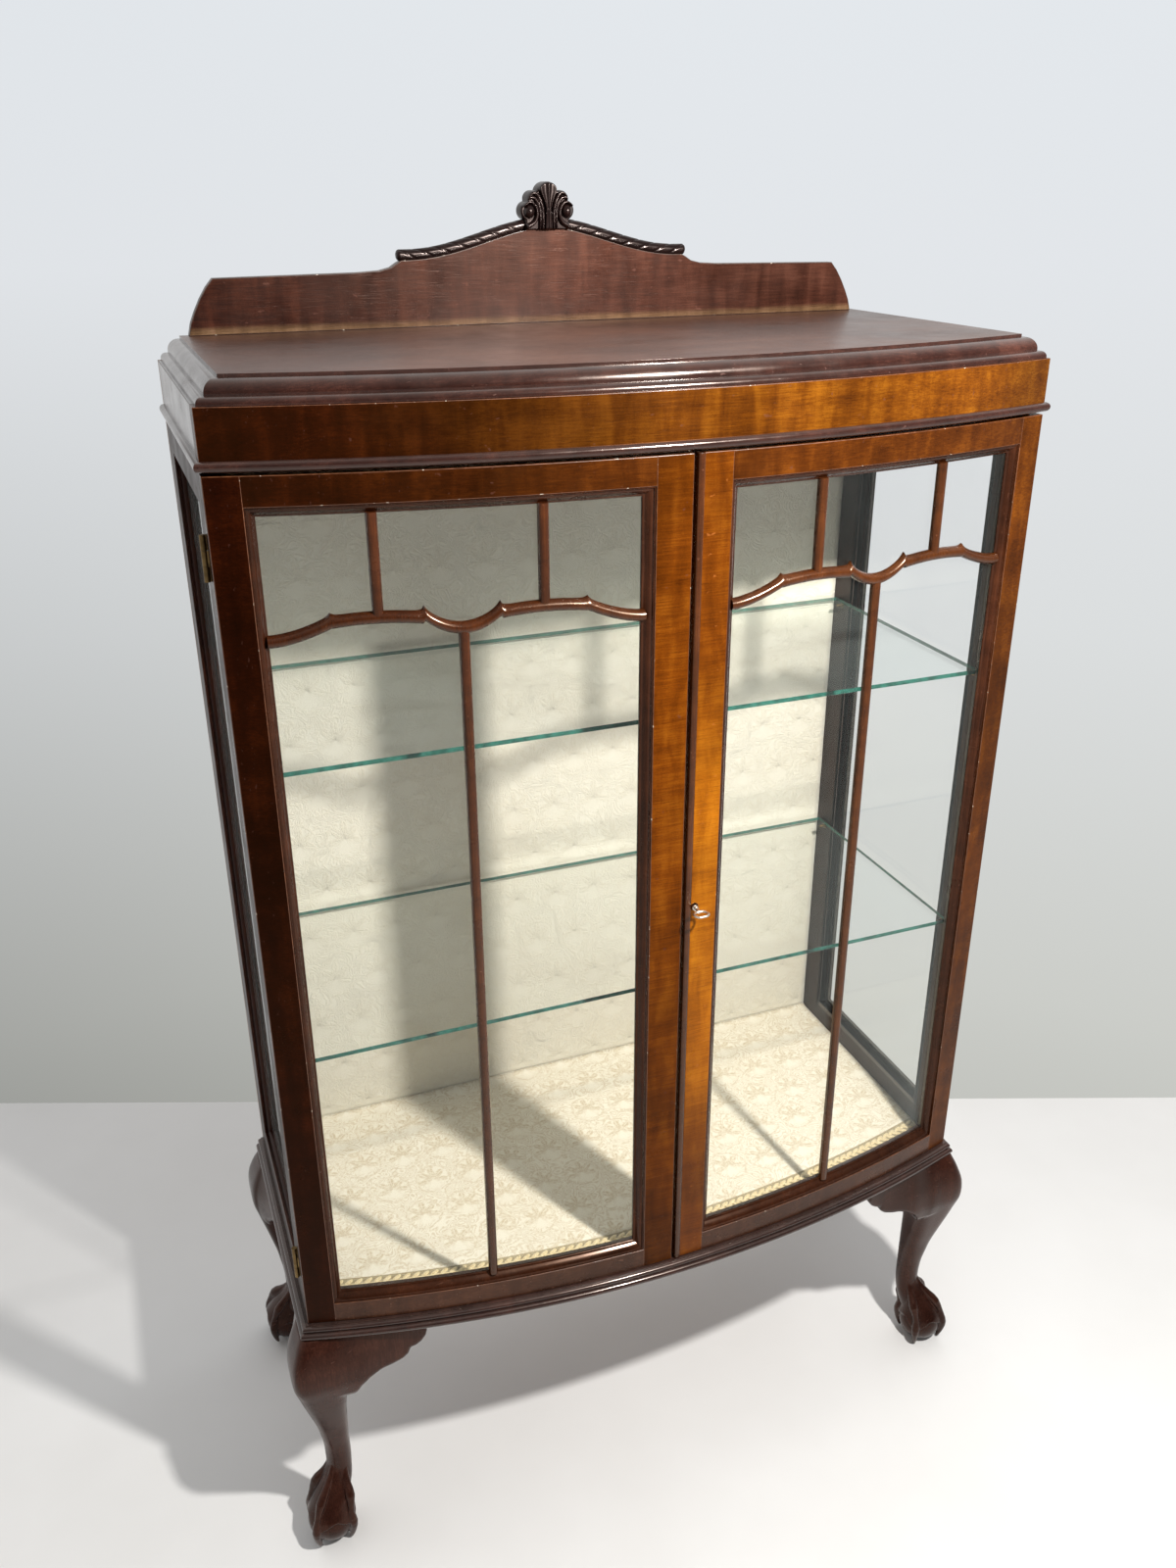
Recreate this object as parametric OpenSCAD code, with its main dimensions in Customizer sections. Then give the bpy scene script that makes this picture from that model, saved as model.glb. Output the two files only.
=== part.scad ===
// Bow-front china cabinet on four cabriole legs, with two glazed doors that open outwards.
// Millimetres, +Z up. The origin is on the floor, at the middle of the cabinet's footprint;
// the doors face -Y. Inside this file the cabinet is drawn with y = 0 on the line through
// its two front corners, and every sub-part is moved by row_shift at the end.

/* [Case] */
// Width across the sides of the case
case_w = 914; // [860:1:960]
// Depth from the front corners to the back
case_d = 375; // [340:1:420]
// How far the middle of the front stands out past the front corners
bow_rise = 64; // [50:1:75]
// Height of the underside of the base moulding
leg_h = 352; // [330:1:380]
// Height of the base moulding
base_h = 18; // [16:1:24]
// Height of the doors
door_h = 1021; // [1000:1:1060]
// Height of the frieze above the doors
frieze_h = 56.5; // [50:0.5:70]
// Thickness of the top board
top_h = 24.7; // [22:0.1:30]
// Thickness of the side frames and the frieze
wall = 22; // [20:1:24]

/* [Gallery] */
// Thickness of the gallery board along the back of the top
gallery_t = 14; // [12:1:18]
// Half of the gallery's length at its foot
gallery_half = 421; // [400:1:425]
// Height of the gallery's straight ends
gallery_end_h = 60; // [50:1:70]
// Height of the gallery's middle, under the crest
gallery_mid_h = 106; // [90:1:115]
// Height of the carved crest
crest_h = 49; // [45:1:55]
// Thickness of the rope moulding
rope_d = 12; // [10:1:13]

/* [Doors] */
// Thickness of the doors
door_t = 20; // [18:1:22]
// Gap between the two doors
door_gap = 4; // [3:0.5:5]
// Width of the stiles on the hinge side
outer_stile_w = 33; // [28:1:40]
// Width of the stiles at the meeting edge
meeting_stile_w = 39; // [38:1:44]
// Height of the top rails
door_top_rail_h = 29; // [24:1:34]
// Height of the bottom rails
door_bottom_rail_h = 28; // [24:1:34]
// Width of the sloping moulding around the glass
sight_w = 10.5; // [9:0.5:12]
// Thickness of the glass in the doors
door_glass_t = 3; // [2.5:0.5:4]
// Width of the glazing bars
bar_w = 10; // [8:0.5:12]
// Thickness of the serpentine bar
serpentine_w = 12.5; // [11:0.5:14]

/* [Interior] */
// Height of the upper shelf's top above the floor under the cabinet
upper_shelf_z = 1086; // [1040:1:1120]
// Height of the lower shelf's top above the floor under the cabinet
lower_shelf_z = 733; // [700:1:780]
// Thickness of the glass shelves
shelf_t = 5.5; // [5:0.5:8]
// Width of the stiles at the back of the sides
back_stile_w = 49; // [40:1:55]
// Width of the stiles at the front of the sides, measured from the front corners
front_stile_w = 50; // [44:1:60]

/* [Legs] */
// Radius of the balls under the claws
ball_r = 31; // [28:1:33]
// How far the back legs' corners stand in front of the back of the case
back_leg_inset = 16; // [14:1:40]
// Length of the knee brackets, measured from the corner
bracket_len = 139; // [125:1:150]

/* [Lock and hinges] */
// Height of the keyhole above the bottom of the doors
key_h = 517; // [480:1:540]
// Distance of the keyhole from the middle of the cabinet
key_x = 13.5; // [13:0.5:16]
// How far the key stands out of the right door
key_out = 26; // [22:1:30]
// Travel of the lock's bolt
lock_throw = 9; // [7:0.5:9]
// Distance of each hinge's middle from the door's nearest end
hinge_from_end = 79; // [60:1:110]
// Length of the hinges
hinge_len = 45; // [40:1:50]

/* [Hidden] */

eps = 0.5;                     // how far a cutting tool runs past the face it cuts
half_w = case_w / 2;
fine = 720;                    // facets of the bow's large circles
sweep_a = 26;                  // half of the angle the bow's mouldings are swept through
mahogany = [0.30, 0.13, 0.07];
veneer = [0.48, 0.24, 0.10];
brass = [0.78, 0.62, 0.30];
steel = [0.62, 0.62, 0.60];

// The bow is an arc through both front corners, bow_rise proud of them in the middle.
bow_r = (half_w * half_w + bow_rise * bow_rise) / (2 * bow_rise);
bow_cy = bow_r - bow_rise;
function bow_y(x, inset = 0) = bow_cy - sqrt(pow(bow_r - inset, 2) - x * x);

// Levels
base_top = leg_h + base_h;
door_z0 = base_top + 1;
door_z1 = door_z0 + door_h;
frieze_z = door_z1 + 3.5;
frieze_top = frieze_z + frieze_h;
top_z = frieze_top + top_h;
floor_h = 9.8;
cloth_t = 1.2;
floor_z = base_top + floor_h + cloth_t;
lower_shelf_under = lower_shelf_z - shelf_t;
back_t = 6;
inner_back_y = case_d - back_t;

// The front-most point is the key's bow, the back-most the back legs' feet.
foot_reach = ball_r;
front_y = -bow_rise - key_out;
back_y = case_d - back_leg_inset + foot_reach;
row_shift = -(front_y + back_y) / 2;

module in_row() { translate([0, row_shift, 0]) children(); }
module both_sides() { children(); mirror([1, 0, 0]) children(); }

// A piece of the bowed front between two depths behind its face, two heights and two x values.
module bow_band(front, back, z0, z1, x0, x1) {
    intersection() {
        translate([0, bow_cy, z0]) difference() {
            cylinder(r = bow_r - front, h = z1 - z0, $fn = fine);
            translate([0, 0, -eps]) cylinder(r = bow_r - back, h = z1 - z0 + 2 * eps, $fn = fine);
        }
        translate([x0, -120, z0 - eps]) cube([x1 - x0, 240, z1 - z0 + 2 * eps]);
    }
}

// Everything behind the bowed surface that lies inset behind the face.
module behind_bow(inset, z0, z1) {
    translate([0, bow_cy, z0]) cylinder(r = bow_r - inset, h = z1 - z0, $fn = fine);
}

// A slab with the plan of the case and a moulded edge along its front and sides.
// The edge lists [projection past the case's faces, z] from the bottom up.
module moulded_slab(edge, y_end) {
    z0 = edge[0][1];
    z1 = edge[len(edge) - 1][1];
    core_r = bow_cy - y_end - 60;
    intersection() {
        translate([0, bow_cy, 0]) rotate([0, 0, -90 - sweep_a])
            rotate_extrude(angle = 2 * sweep_a, $fn = fine)
                polygon(concat([[core_r, z0]], [for (p = edge) [bow_r + p[0], p[1]]], [[core_r, z1]]));
        translate([0, y_end, 0]) rotate([90, 0, 0])
            linear_extrude(height = y_end + bow_rise + 40)
                polygon(concat([for (p = edge) [half_w + p[0], p[1]]],
                               [for (i = [len(edge) - 1:-1:0]) [-half_w - edge[i][0], edge[i][1]]]));
    }
}

// Points of a quarter round from a to b, bulging to one side (turn = 1 or -1)
function arc_points(cx, cz, r, a0, a1, n = 6) =
    [for (i = [0:n]) [cx + r * cos(a0 + (a1 - a0) * i / n), cz + r * sin(a0 + (a1 - a0) * i / n)]];

/* Top, gallery and crest */

top_edge = concat([[-3.5, frieze_top], [-3.5, frieze_top + 1.5]],
                  arc_points(-9.5, frieze_top + 1.5, 6, 0, 90, 4),
                  [[-12, frieze_top + 7.5], [-12, frieze_top + 9.2]],
                  arc_points(-24.5, frieze_top + 9.2, 12.5, 0, 90, 6),
                  [[-26.5, frieze_top + 21.7], [-26.5, top_z]]);

// The gallery board is let into a rebate along the back of the top.
gallery_rebate = 12;

module top_board() color([0.36, 0.19, 0.12]) in_row() difference() {
    moulded_slab(top_edge, case_d);
    translate([-gallery_half, case_d - gallery_t, top_z - gallery_rebate])
        cube([2 * gallery_half, gallery_t + eps, gallery_rebate + eps]);
}

// Upper outline of the gallery's swan-necked middle: a cosine between the cove and the crest
neck_x = 172;
neck_h = 73;
cove_x = 197;
function gallery_top(x) = neck_h + (gallery_mid_h - neck_h) * (1 + cos(180 * pow(x / neck_x, 0.88))) / 2;

gallery_half_outline = concat(
    [[gallery_half, -gallery_rebate], [gallery_half, 0], [gallery_half - 3.5, 13],
     [gallery_half - 9, 25], [gallery_half - 16, 38], [gallery_half - 24, 50], [gallery_half - 32, gallery_end_h - 1], [cove_x + 30, gallery_end_h + 1],
     [cove_x + 5, gallery_end_h + 2.5], [cove_x - 8, gallery_end_h + 5.5],
     [cove_x - 16, gallery_end_h + 10.5], [neck_x + 4, neck_h]],
    [for (i = [12:-1:0]) [neck_x * i / 12, gallery_top(neck_x * i / 12)]]);

module gallery_plate(y_back, t) translate([0, y_back, top_z]) rotate([90, 0, 0]) linear_extrude(height = t)
    polygon(concat(gallery_half_outline,
                   [for (i = [len(gallery_half_outline) - 2:-1:0])
                       [-gallery_half_outline[i][0], gallery_half_outline[i][1]]]));

module gallery_board() color([0.40, 0.20, 0.15]) in_row() gallery_plate(case_d, gallery_t);

// A tube swept through points, as a ring of sides around each one. The frame vectors u and v
// stay fixed and u x v points along the path, which may only bend gently away from it.
module swept_tube(path, radii, u, v, sides = 8) {
    n = len(path);
    pts = [for (i = [0:n - 1]) for (k = [0:sides - 1])
              path[i] + radii[i] * (cos(360 * k / sides) * u + sin(360 * k / sides) * v)];
    side_faces = [for (i = [0:n - 2]) for (k = [0:sides - 1]) for (t = [0, 1])
        t == 0 ? [i * sides + k, (i + 1) * sides + k, i * sides + (k + 1) % sides]
               : [i * sides + (k + 1) % sides, (i + 1) * sides + k, (i + 1) * sides + (k + 1) % sides]];
    caps = [[for (k = [0:sides - 1]) k],
            [for (k = [sides - 1:-1:0]) (n - 1) * sides + k]];
    polyhedron(points = pts, faces = concat(side_faces, caps), convexity = 4);
}

rope_x0 = 40;
rope_x1 = 181;
rope_rings = 14;
rope_y = case_d - gallery_t / 2 - 1;
rope_path = [for (i = [0:rope_rings]) let (x = rope_x0 + (rope_x1 - rope_x0) * i / rope_rings)
                [x, rope_y, top_z + gallery_top(min(x, neck_x)) + rope_d / 2 + 0.6
                    + (x > neck_x ? (x - neck_x) * 0.1 : 0)]];

module rope_mouldings() color([0.20, 0.10, 0.08]) in_row()
    both_sides() swept_tube(rope_path, [for (p = rope_path) rope_d / 2], [0, 1, 0], [0, 0, 1], 12);

// The crest: a palmette with a middle lobe and two shoulders between two volutes
crest_t = 20;
crest_y = case_d - 1;
lobe_r = 15;
shoulder_r = 11;
shoulder_x = 16;
volute_r = 16;
volute_x = 24.5;
volute_z = 14;
boss_r = 8;

module crest_disc(x, z, r, t) {
    translate([x, crest_y, top_z + gallery_mid_h + z]) rotate([90, 0, 0]) cylinder(r = r, h = t, $fn = 64);
}

module crest_carving() color([0.20, 0.10, 0.08]) in_row() difference() {
    union() {
        crest_disc(0, crest_h - lobe_r, lobe_r, crest_t - 3);
        for (s = [-1, 1]) {
            crest_disc(s * shoulder_x, crest_h - lobe_r - 5, shoulder_r, crest_t - 3);
            crest_disc(s * volute_x, volute_z, volute_r, crest_t - 2);
            crest_disc(s * volute_x, volute_z, boss_r, crest_t);
        }
        translate([-volute_x - 6, crest_y - crest_t + 4, top_z + gallery_mid_h - 8])
            cube([2 * (volute_x + 6), crest_t - 4, crest_h - lobe_r]);
    }
    gallery_plate(case_d + 10, 4 * crest_t);
}

/* Frieze and case */

module frieze_front() color(veneer) in_row()
    bow_band(0, wall, frieze_z, frieze_top, -half_w, half_w);

module frieze_side() {
    intersection() {
        translate([half_w - wall, -10, frieze_z]) cube([wall, inner_back_y + 10, frieze_h]);
        behind_bow(wall, frieze_z - eps, frieze_top + eps);
    }
}
module left_frieze() color(mahogany) in_row() mirror([1, 0, 0]) frieze_side();
module right_frieze() color(mahogany) in_row() frieze_side();

bead_h = 9.5;
bead_out = 5.5;
bead_edge = concat([[-1, frieze_z]], arc_points(0.5, frieze_z + bead_h / 2, bead_out - 0.5, -80, 80, 8),
                   [[-1, frieze_z + bead_h]]);

module frieze_bead() color(mahogany) in_row() difference() {
    moulded_slab(bead_edge, inner_back_y);
    intersection() {
        behind_bow(0, frieze_z - eps, frieze_z + bead_h + eps);
        translate([-half_w, -100, frieze_z - eps]) cube([case_w, case_d + 200, bead_h + 2 * eps]);
    }
}

side_z0 = base_top;
side_z1 = frieze_z;
side_top_rail_h = 37;
side_bottom_rail_h = 45;
side_glass_t = 4;
rebate_w = 7;
glass_slack = 0.3;
case_front_gap = 1.4;          // between the backs of the doors and the case
back_stile_y = inner_back_y - back_stile_w;

// The opening that takes the side glass from inside, cut into all four members around it
module side_rebate(slack = 0) {
    translate([half_w - wall - eps, front_stile_w - rebate_w + slack, side_z0 + side_bottom_rail_h - rebate_w + slack])
        cube([wall - 10 + eps, back_stile_y - front_stile_w + 2 * (rebate_w - slack),
              side_z1 - side_z0 - side_top_rail_h - side_bottom_rail_h + 2 * (rebate_w - slack)]);
}

hinge_mid = [door_z0 + hinge_from_end, door_z1 - hinge_from_end];
knuckle_r = 3;
pin_r = 1.5;
pin_clear = 0.05;
pin_x = half_w + 3.3;
pin_y = bow_y(pin_x, door_t + case_front_gap / 2);
leaf_t = 1.2;
leaf_x = half_w - 18;
leaf_edge = half_w - 0.1;
door_leaf_inset = door_t - leaf_t + 0.5;
case_leaf_inset = door_t + case_front_gap - 0.5;

module leaf_band(inset, z_mid, x0, x1, len) {
    bow_band(inset, inset + leaf_t, z_mid - len / 2, z_mid + len / 2, x0, x1);
}

module peg_holes() {
    for (z = [upper_shelf_z, lower_shelf_z]) for (y = peg_ys)
        translate([half_w - wall - eps, y, z - shelf_t - peg_r]) rotate([0, 90, 0])
            cylinder(r = peg_r, h = peg_in + eps, $fn = 32);
}

module side_front_stile() difference() {
    intersection() {
        translate([half_w - wall, 0, side_z0]) cube([wall, front_stile_w, side_z1 - side_z0]);
        behind_bow(door_t + case_front_gap, side_z0 - eps, side_z1 + eps);
    }
    side_rebate();
    peg_holes();
    for (z = hinge_mid) leaf_band(case_leaf_inset, z, leaf_x, half_w + 1, hinge_len);
}

module side_back_stile() difference() {
    translate([half_w - wall, back_stile_y, side_z0]) cube([wall, back_stile_w, side_z1 - side_z0]);
    side_rebate();
    peg_holes();
}

module side_rail(z, h) difference() {
    translate([half_w - wall, front_stile_w, z]) cube([wall, back_stile_y - front_stile_w, h]);
    side_rebate();
}

module left_front_stile() color(mahogany) in_row() mirror([1, 0, 0]) side_front_stile();
module right_front_stile() color(mahogany) in_row() side_front_stile();
module left_back_stile() color(mahogany) in_row() mirror([1, 0, 0]) side_back_stile();
module right_back_stile() color(mahogany) in_row() side_back_stile();
module left_top_rail() color(mahogany) in_row()
    mirror([1, 0, 0]) side_rail(side_z1 - side_top_rail_h, side_top_rail_h);
module right_top_rail() color(mahogany) in_row() side_rail(side_z1 - side_top_rail_h, side_top_rail_h);
module left_bottom_rail() color(mahogany) in_row() mirror([1, 0, 0]) side_rail(side_z0, side_bottom_rail_h);
module right_bottom_rail() color(mahogany) in_row() side_rail(side_z0, side_bottom_rail_h);

module side_glass() intersection() {
    side_rebate(glass_slack);
    translate([half_w - 10 - side_glass_t, 0, 0]) cube([side_glass_t, case_d, top_z]);
}
module left_side_glass() color([0.8, 0.9, 0.88, 0.4]) in_row() mirror([1, 0, 0]) side_glass();
module right_side_glass() color([0.8, 0.9, 0.88, 0.4]) in_row() side_glass();

module side_bead() difference() {
    intersection() {
        side_rebate(glass_slack);
        translate([half_w - wall, 0, 0]) cube([wall - 10 - side_glass_t, case_d, top_z]);
    }
    translate([half_w - 2 * wall, front_stile_w, side_z0 + side_bottom_rail_h])
        cube([3 * wall, back_stile_y - front_stile_w, side_z1 - side_z0 - side_top_rail_h - side_bottom_rail_h]);
}
module side_glazing_beads() color(mahogany) in_row() both_sides() side_bead();

module back_panel() color([0.45, 0.30, 0.18]) in_row()
    translate([-half_w, inner_back_y, leg_h]) cube([case_w, back_t, frieze_top - leg_h]);

module back_lining() color([0.92, 0.90, 0.80]) in_row()
    translate([-half_w + wall, inner_back_y - cloth_t, base_top + floor_h])
        cube([case_w - 2 * wall, cloth_t, frieze_z - base_top - floor_h]);

module floor_plan(inset, y_end, z0, z1) intersection() {
    behind_bow(inset, z0, z1);
    translate([-half_w + wall, -100, z0 - eps]) cube([case_w - 2 * wall, y_end + 100, z1 - z0 + 2 * eps]);
}

// The braid lies along the front of the floor lining and stands a little above it.
gimp_inset = 36.5;
gimp_w = 20;
gimp_h = 2.5;

module floor_board() color([0.45, 0.30, 0.18]) in_row()
    floor_plan(wall, inner_back_y, base_top, base_top + floor_h);

module floor_lining() color([0.90, 0.86, 0.74]) in_row()
    floor_plan(gimp_inset + gimp_w, inner_back_y - cloth_t, base_top + floor_h, floor_z);

module floor_gimp() color([0.80, 0.72, 0.48]) in_row()
    bow_band(gimp_inset, gimp_inset + gimp_w, base_top + floor_h, floor_z + gimp_h,
             -half_w + wall + 1, half_w - wall - 1);

/* Base moulding, legs and brackets */

base_out = 11.5;
base_in = 45;
base_edge = concat([[base_out - 3, leg_h]], arc_points(base_out - 4.4, leg_h + 4.4, 4.4, -60, 80, 6),
                   [[6, leg_h + 9], [6, leg_h + 9.8]],
                   arc_points(4.8, leg_h + 13, 3.2, -70, 80, 6),
                   [[3.5, leg_h + 16.6], [3.5, base_top]]);

// The front member ends in mitres that run out through the case's front corners.
mitre_out = [half_w + base_out, bow_cy - sqrt(pow(bow_r + base_out, 2) - pow(half_w + base_out, 2))];
mitre_dir = mitre_out - [half_w, 0];

// Everything in front of both mitre planes
module mitre_mask() translate([0, 0, leg_h - 1]) linear_extrude(height = base_h + 2)
    polygon([[half_w, 0] + 4 * mitre_dir, [half_w, 0] - 6 * mitre_dir,
             [-half_w, 0] + 6 * [mitre_dir[0], -mitre_dir[1]],
             [-half_w, 0] + 4 * [-mitre_dir[0], mitre_dir[1]], [0, -400]]);

function base_section(face) = concat([[face - base_in, leg_h]], [for (p = base_edge) [face + p[0], p[1]]],
                                     [[face - base_in, base_top]]);

module base_front() intersection() {
    translate([0, bow_cy, 0]) rotate([0, 0, -90 - sweep_a])
        rotate_extrude(angle = 2 * sweep_a, $fn = fine) polygon(base_section(bow_r));
    mitre_mask();
}
module base_side() difference() {
    translate([0, inner_back_y, 0]) rotate([90, 0, 0]) linear_extrude(height = inner_back_y + 40)
        polygon(base_section(half_w));
    mitre_mask();
}
module front_base_moulding() color(mahogany) in_row() base_front();
module right_base_moulding() color(mahogany) in_row() base_side();
module left_base_moulding() color(mahogany) in_row() mirror([1, 0, 0]) base_side();

// Cabriole leg. Each row: depth below the base moulding, the leg's outer and inner edge along
// the diagonal (outwards from the case's corner is positive), and how square the section is.
leg_rows = [[0, 12, -53, 5], [20, 24, -52, 5], [42, 33, -51.5, 5], [67, 34, -51.5, 5], [89, 27, -50, 4.5],
            [110, 20, -46, 4], [130, 13, -44, 3.5], [150, 6, -44, 3.2], [169, 0, -44, 3], [190, -5, -44, 2.6],
            [210, -9, -44, 2.3], [235, -11, -44, 2], [255, -10, -43, 2], [275, -5, -40, 2], [300, -2, -32, 2]];
leg_sides = 24;

function squircle(a, n) = pow(pow(abs(cos(a)), n) + pow(abs(sin(a)), n), -1 / n);

module leg_shaft() {
    rings = len(leg_rows);
    pts = [for (r = leg_rows) let (k = pow(2, -1 / r[3]), s = (r[1] - r[2]) / (2 * sqrt(2) * k),
                                   m = (r[1] + r[2]) / (2 * sqrt(2)))
              for (i = [0:leg_sides - 1]) let (a = 360 * i / leg_sides, q = s * squircle(a, r[3]))
                  [m + q * cos(a), -m + q * sin(a), leg_h - r[0]]];
    faces = concat(
        [for (j = [0:rings - 2]) for (i = [0:leg_sides - 1])
            [j * leg_sides + i, j * leg_sides + (i + 1) % leg_sides, (j + 1) * leg_sides + (i + 1) % leg_sides]],
        [for (j = [0:rings - 2]) for (i = [0:leg_sides - 1])
            [j * leg_sides + i, (j + 1) * leg_sides + (i + 1) % leg_sides, (j + 1) * leg_sides + i]],
        [[for (i = [leg_sides - 1:-1:0]) i]],
        [[for (i = [0:leg_sides - 1]) (rings - 1) * leg_sides + i]]);
    polyhedron(points = pts, faces = faces, convexity = 4);
}

// One claw comes down from the ankle over the ball and ends in a talon on the floor.
claw_path = [[15, 92], [22, 80], [29, 66], [33, 50], [33.5, 34], [31, 18], [27, 5]];
claw_radii = [6, 6.5, 6.5, 6, 6.5, 5, 3];

module leg() {
    leg_shaft();
    difference() {
        translate([0, 0, ball_r - 1.5]) sphere(r = ball_r, $fn = 64);
        translate([-50, -50, -10]) cube([100, 100, 10]);
    }
    for (a = [-45, 45, 135, 225]) rotate([0, 0, a]) claw();
}

module claw() {
    swept_tube([for (p = claw_path) [p[0], 0, p[1]]], claw_radii, [0, 1, 0], [0.9, 0, 0.4]);
}

module front_leg() translate([half_w, 0, 0]) leg();
module back_leg() translate([half_w, case_d - back_leg_inset, 0]) mirror([0, 1, 0]) leg();
module front_left_leg() color(mahogany) in_row() mirror([1, 0, 0]) front_leg();
module front_right_leg() color(mahogany) in_row() front_leg();
module back_left_leg() color(mahogany) in_row() mirror([1, 0, 0]) back_leg();
module back_right_leg() color(mahogany) in_row() back_leg();

// Outline of a bracket: distance from the corner along the case, and depth below the moulding
bracket_start = 41;
bracket_outline = [[bracket_start, 0], [bracket_start, 97], [47, 95], [54, 82], [64, 72], [79, 64],
                   [95, 61], [107, 57], [115, 50], [117, 41], [124, 40], [132, 34], [137, 26],
                   [bracket_len, 18], [bracket_len, 0]];
bracket_t = 24;
bracket_inset = 2;

module bracket_board(t) rotate([90, 0, 0]) linear_extrude(height = t)
    polygon([for (p = bracket_outline) [-p[0], -p[1]]]);

module side_bracket() translate([half_w - bracket_inset, 0, leg_h]) rotate([0, 0, -90])
    bracket_board(bracket_t);

module knee_brackets() color(mahogany) in_row() both_sides() {
    intersection() {
        translate([half_w, 60, leg_h]) bracket_board(200);
        bow_band(bracket_inset, bracket_inset + bracket_t, leg_h - 110, leg_h, 0, half_w);
    }
    side_bracket();
    translate([0, case_d - back_leg_inset, 0]) mirror([0, 1, 0]) side_bracket();
}

/* Shelves */

peg_r = 2.5;
peg_in = 8;
peg_out = 9;
peg_ys = [36, back_stile_y + 24];
shelf_y0 = 24;
shelf_y1 = inner_back_y - 10;
shelf_half = half_w - wall - 2;

module shelf(z) translate([-shelf_half, shelf_y0, z - shelf_t])
    cube([2 * shelf_half, shelf_y1 - shelf_y0, shelf_t]);

module upper_shelf() color([0.7, 0.88, 0.82, 0.4]) in_row() shelf(upper_shelf_z);
module lower_shelf() color([0.7, 0.88, 0.82, 0.4]) in_row() shelf(lower_shelf_z);

module shelf_pegs() color(brass) in_row() both_sides()
    for (z = [upper_shelf_z, lower_shelf_z]) for (y = peg_ys)
        translate([half_w - wall - peg_out, y, z - shelf_t - peg_r]) rotate([0, 90, 0])
            cylinder(r = peg_r, h = peg_in + peg_out, $fn = 32);

/* Doors, drawn for the right one and mirrored for the left */

door_x0 = door_gap / 2;
meeting_x = door_x0 + meeting_stile_w;
outer_x = half_w - outer_stile_w;
panel_z0 = door_z0 + door_bottom_rail_h;
panel_z1 = door_z1 - door_top_rail_h;
sight_front = 1.5;
glass_inset = 12;
bead_w = 8;

module door_outer_stile() difference() {
    bow_band(0, door_t, door_z0, door_z1, outer_x, half_w);
    for (z = hinge_mid) leaf_band(door_leaf_inset, z, leaf_x, half_w + 1, hinge_len);
}
module door_top_rail() bow_band(0, door_t, panel_z1, door_z1, meeting_x, outer_x);
module door_bottom_rail() bow_band(0, door_t, door_z0, panel_z0, meeting_x, outer_x);

// A frame of the given width just inside the door's stiles and rails
module door_frame_band(front, back, w) difference() {
    bow_band(front, back, panel_z0, panel_z1, meeting_x, outer_x);
    bow_band(front - 1, back + 1, panel_z0 + w, panel_z1 - w, meeting_x + w, outer_x - w);
}
module door_sight_moulding() door_frame_band(sight_front, glass_inset, sight_w);
module door_glazing_bead() door_frame_band(glass_inset + door_glass_t, door_t, bead_w);
module door_glass() bow_band(glass_inset, glass_inset + door_glass_t,
                             panel_z0 + glass_slack, panel_z1 - glass_slack,
                             meeting_x + glass_slack, outer_x - glass_slack);

// Glazing bars. The serpentine bar is a U-shaped dip in the middle between two low caps,
// with a small nib where the curves meet.
bars_mid = (meeting_x + outer_x) / 2 - 0.5;
bars_upper = [80, -80];
serpentine_z = door_z0 + 866;   // middle of the bar at the bottom of the dip
dip_half = 37;
cap_half = 43.5;
opening_half = (outer_x - meeting_x) / 2 - sight_w;
bars_front = 4;

function serpentine_mid(s) = let (a = abs(s))
    a < dip_half ? 15.5 * pow(a / dip_half, 2)
    : a < dip_half + 2 * cap_half ? 15.5 - 3 * pow((a - dip_half - cap_half) / cap_half, 2)
    : -4 + 17 * pow(max(0, 1 - (a - dip_half - 2 * cap_half) / (opening_half - dip_half - 2 * cap_half)), 1.6);

module serpentine_outline() {
    steps = 72;
    xs = [for (i = [0:steps]) -opening_half - 3 + (2 * opening_half + 6) * i / steps];
    polygon(concat([for (x = xs) [x, serpentine_mid(x) - serpentine_w / 2]],
                   [for (i = [steps:-1:0]) [xs[i], serpentine_mid(xs[i]) + serpentine_w / 2]]));
}

module door_astragals() intersection() {
    union() {
        translate([bars_mid, 120, serpentine_z]) rotate([90, 0, 0])
            linear_extrude(height = 240) serpentine_outline();
        for (s = bars_upper)
            translate([bars_mid + s - bar_w / 2, -120, serpentine_z + 10])
                cube([bar_w, 240, panel_z1 - sight_w - serpentine_z - 10]);
        translate([bars_mid - bar_w / 2, -120, panel_z0 + sight_w])
            cube([bar_w, 240, serpentine_z - panel_z0 - sight_w]);
    }
    bow_band(bars_front, glass_inset, panel_z0 + sight_w, panel_z1 - sight_w,
             meeting_x + sight_w, outer_x - sight_w);
}

// Butt hinges: the case's leaf carries two knuckles and the pin, the door's leaf one knuckle
knuckle_len = hinge_len / 3;
knuckle_gap = 0.3;

module case_leaf(z) {
    leaf_band(case_leaf_inset, z, leaf_x, leaf_edge, hinge_len);
    for (s = [-1, 1]) {
        leaf_band(case_leaf_inset, z + s * knuckle_len, leaf_edge - 0.1, half_w + 2.5, knuckle_len - knuckle_gap);
        translate([pin_x, pin_y, z + s * knuckle_len]) cylinder(r = knuckle_r, h = knuckle_len - knuckle_gap,
                                                                center = true, $fn = 48);
    }
    translate([pin_x, pin_y, z]) cylinder(r = pin_r, h = hinge_len - 1, center = true, $fn = 48);
}

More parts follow.
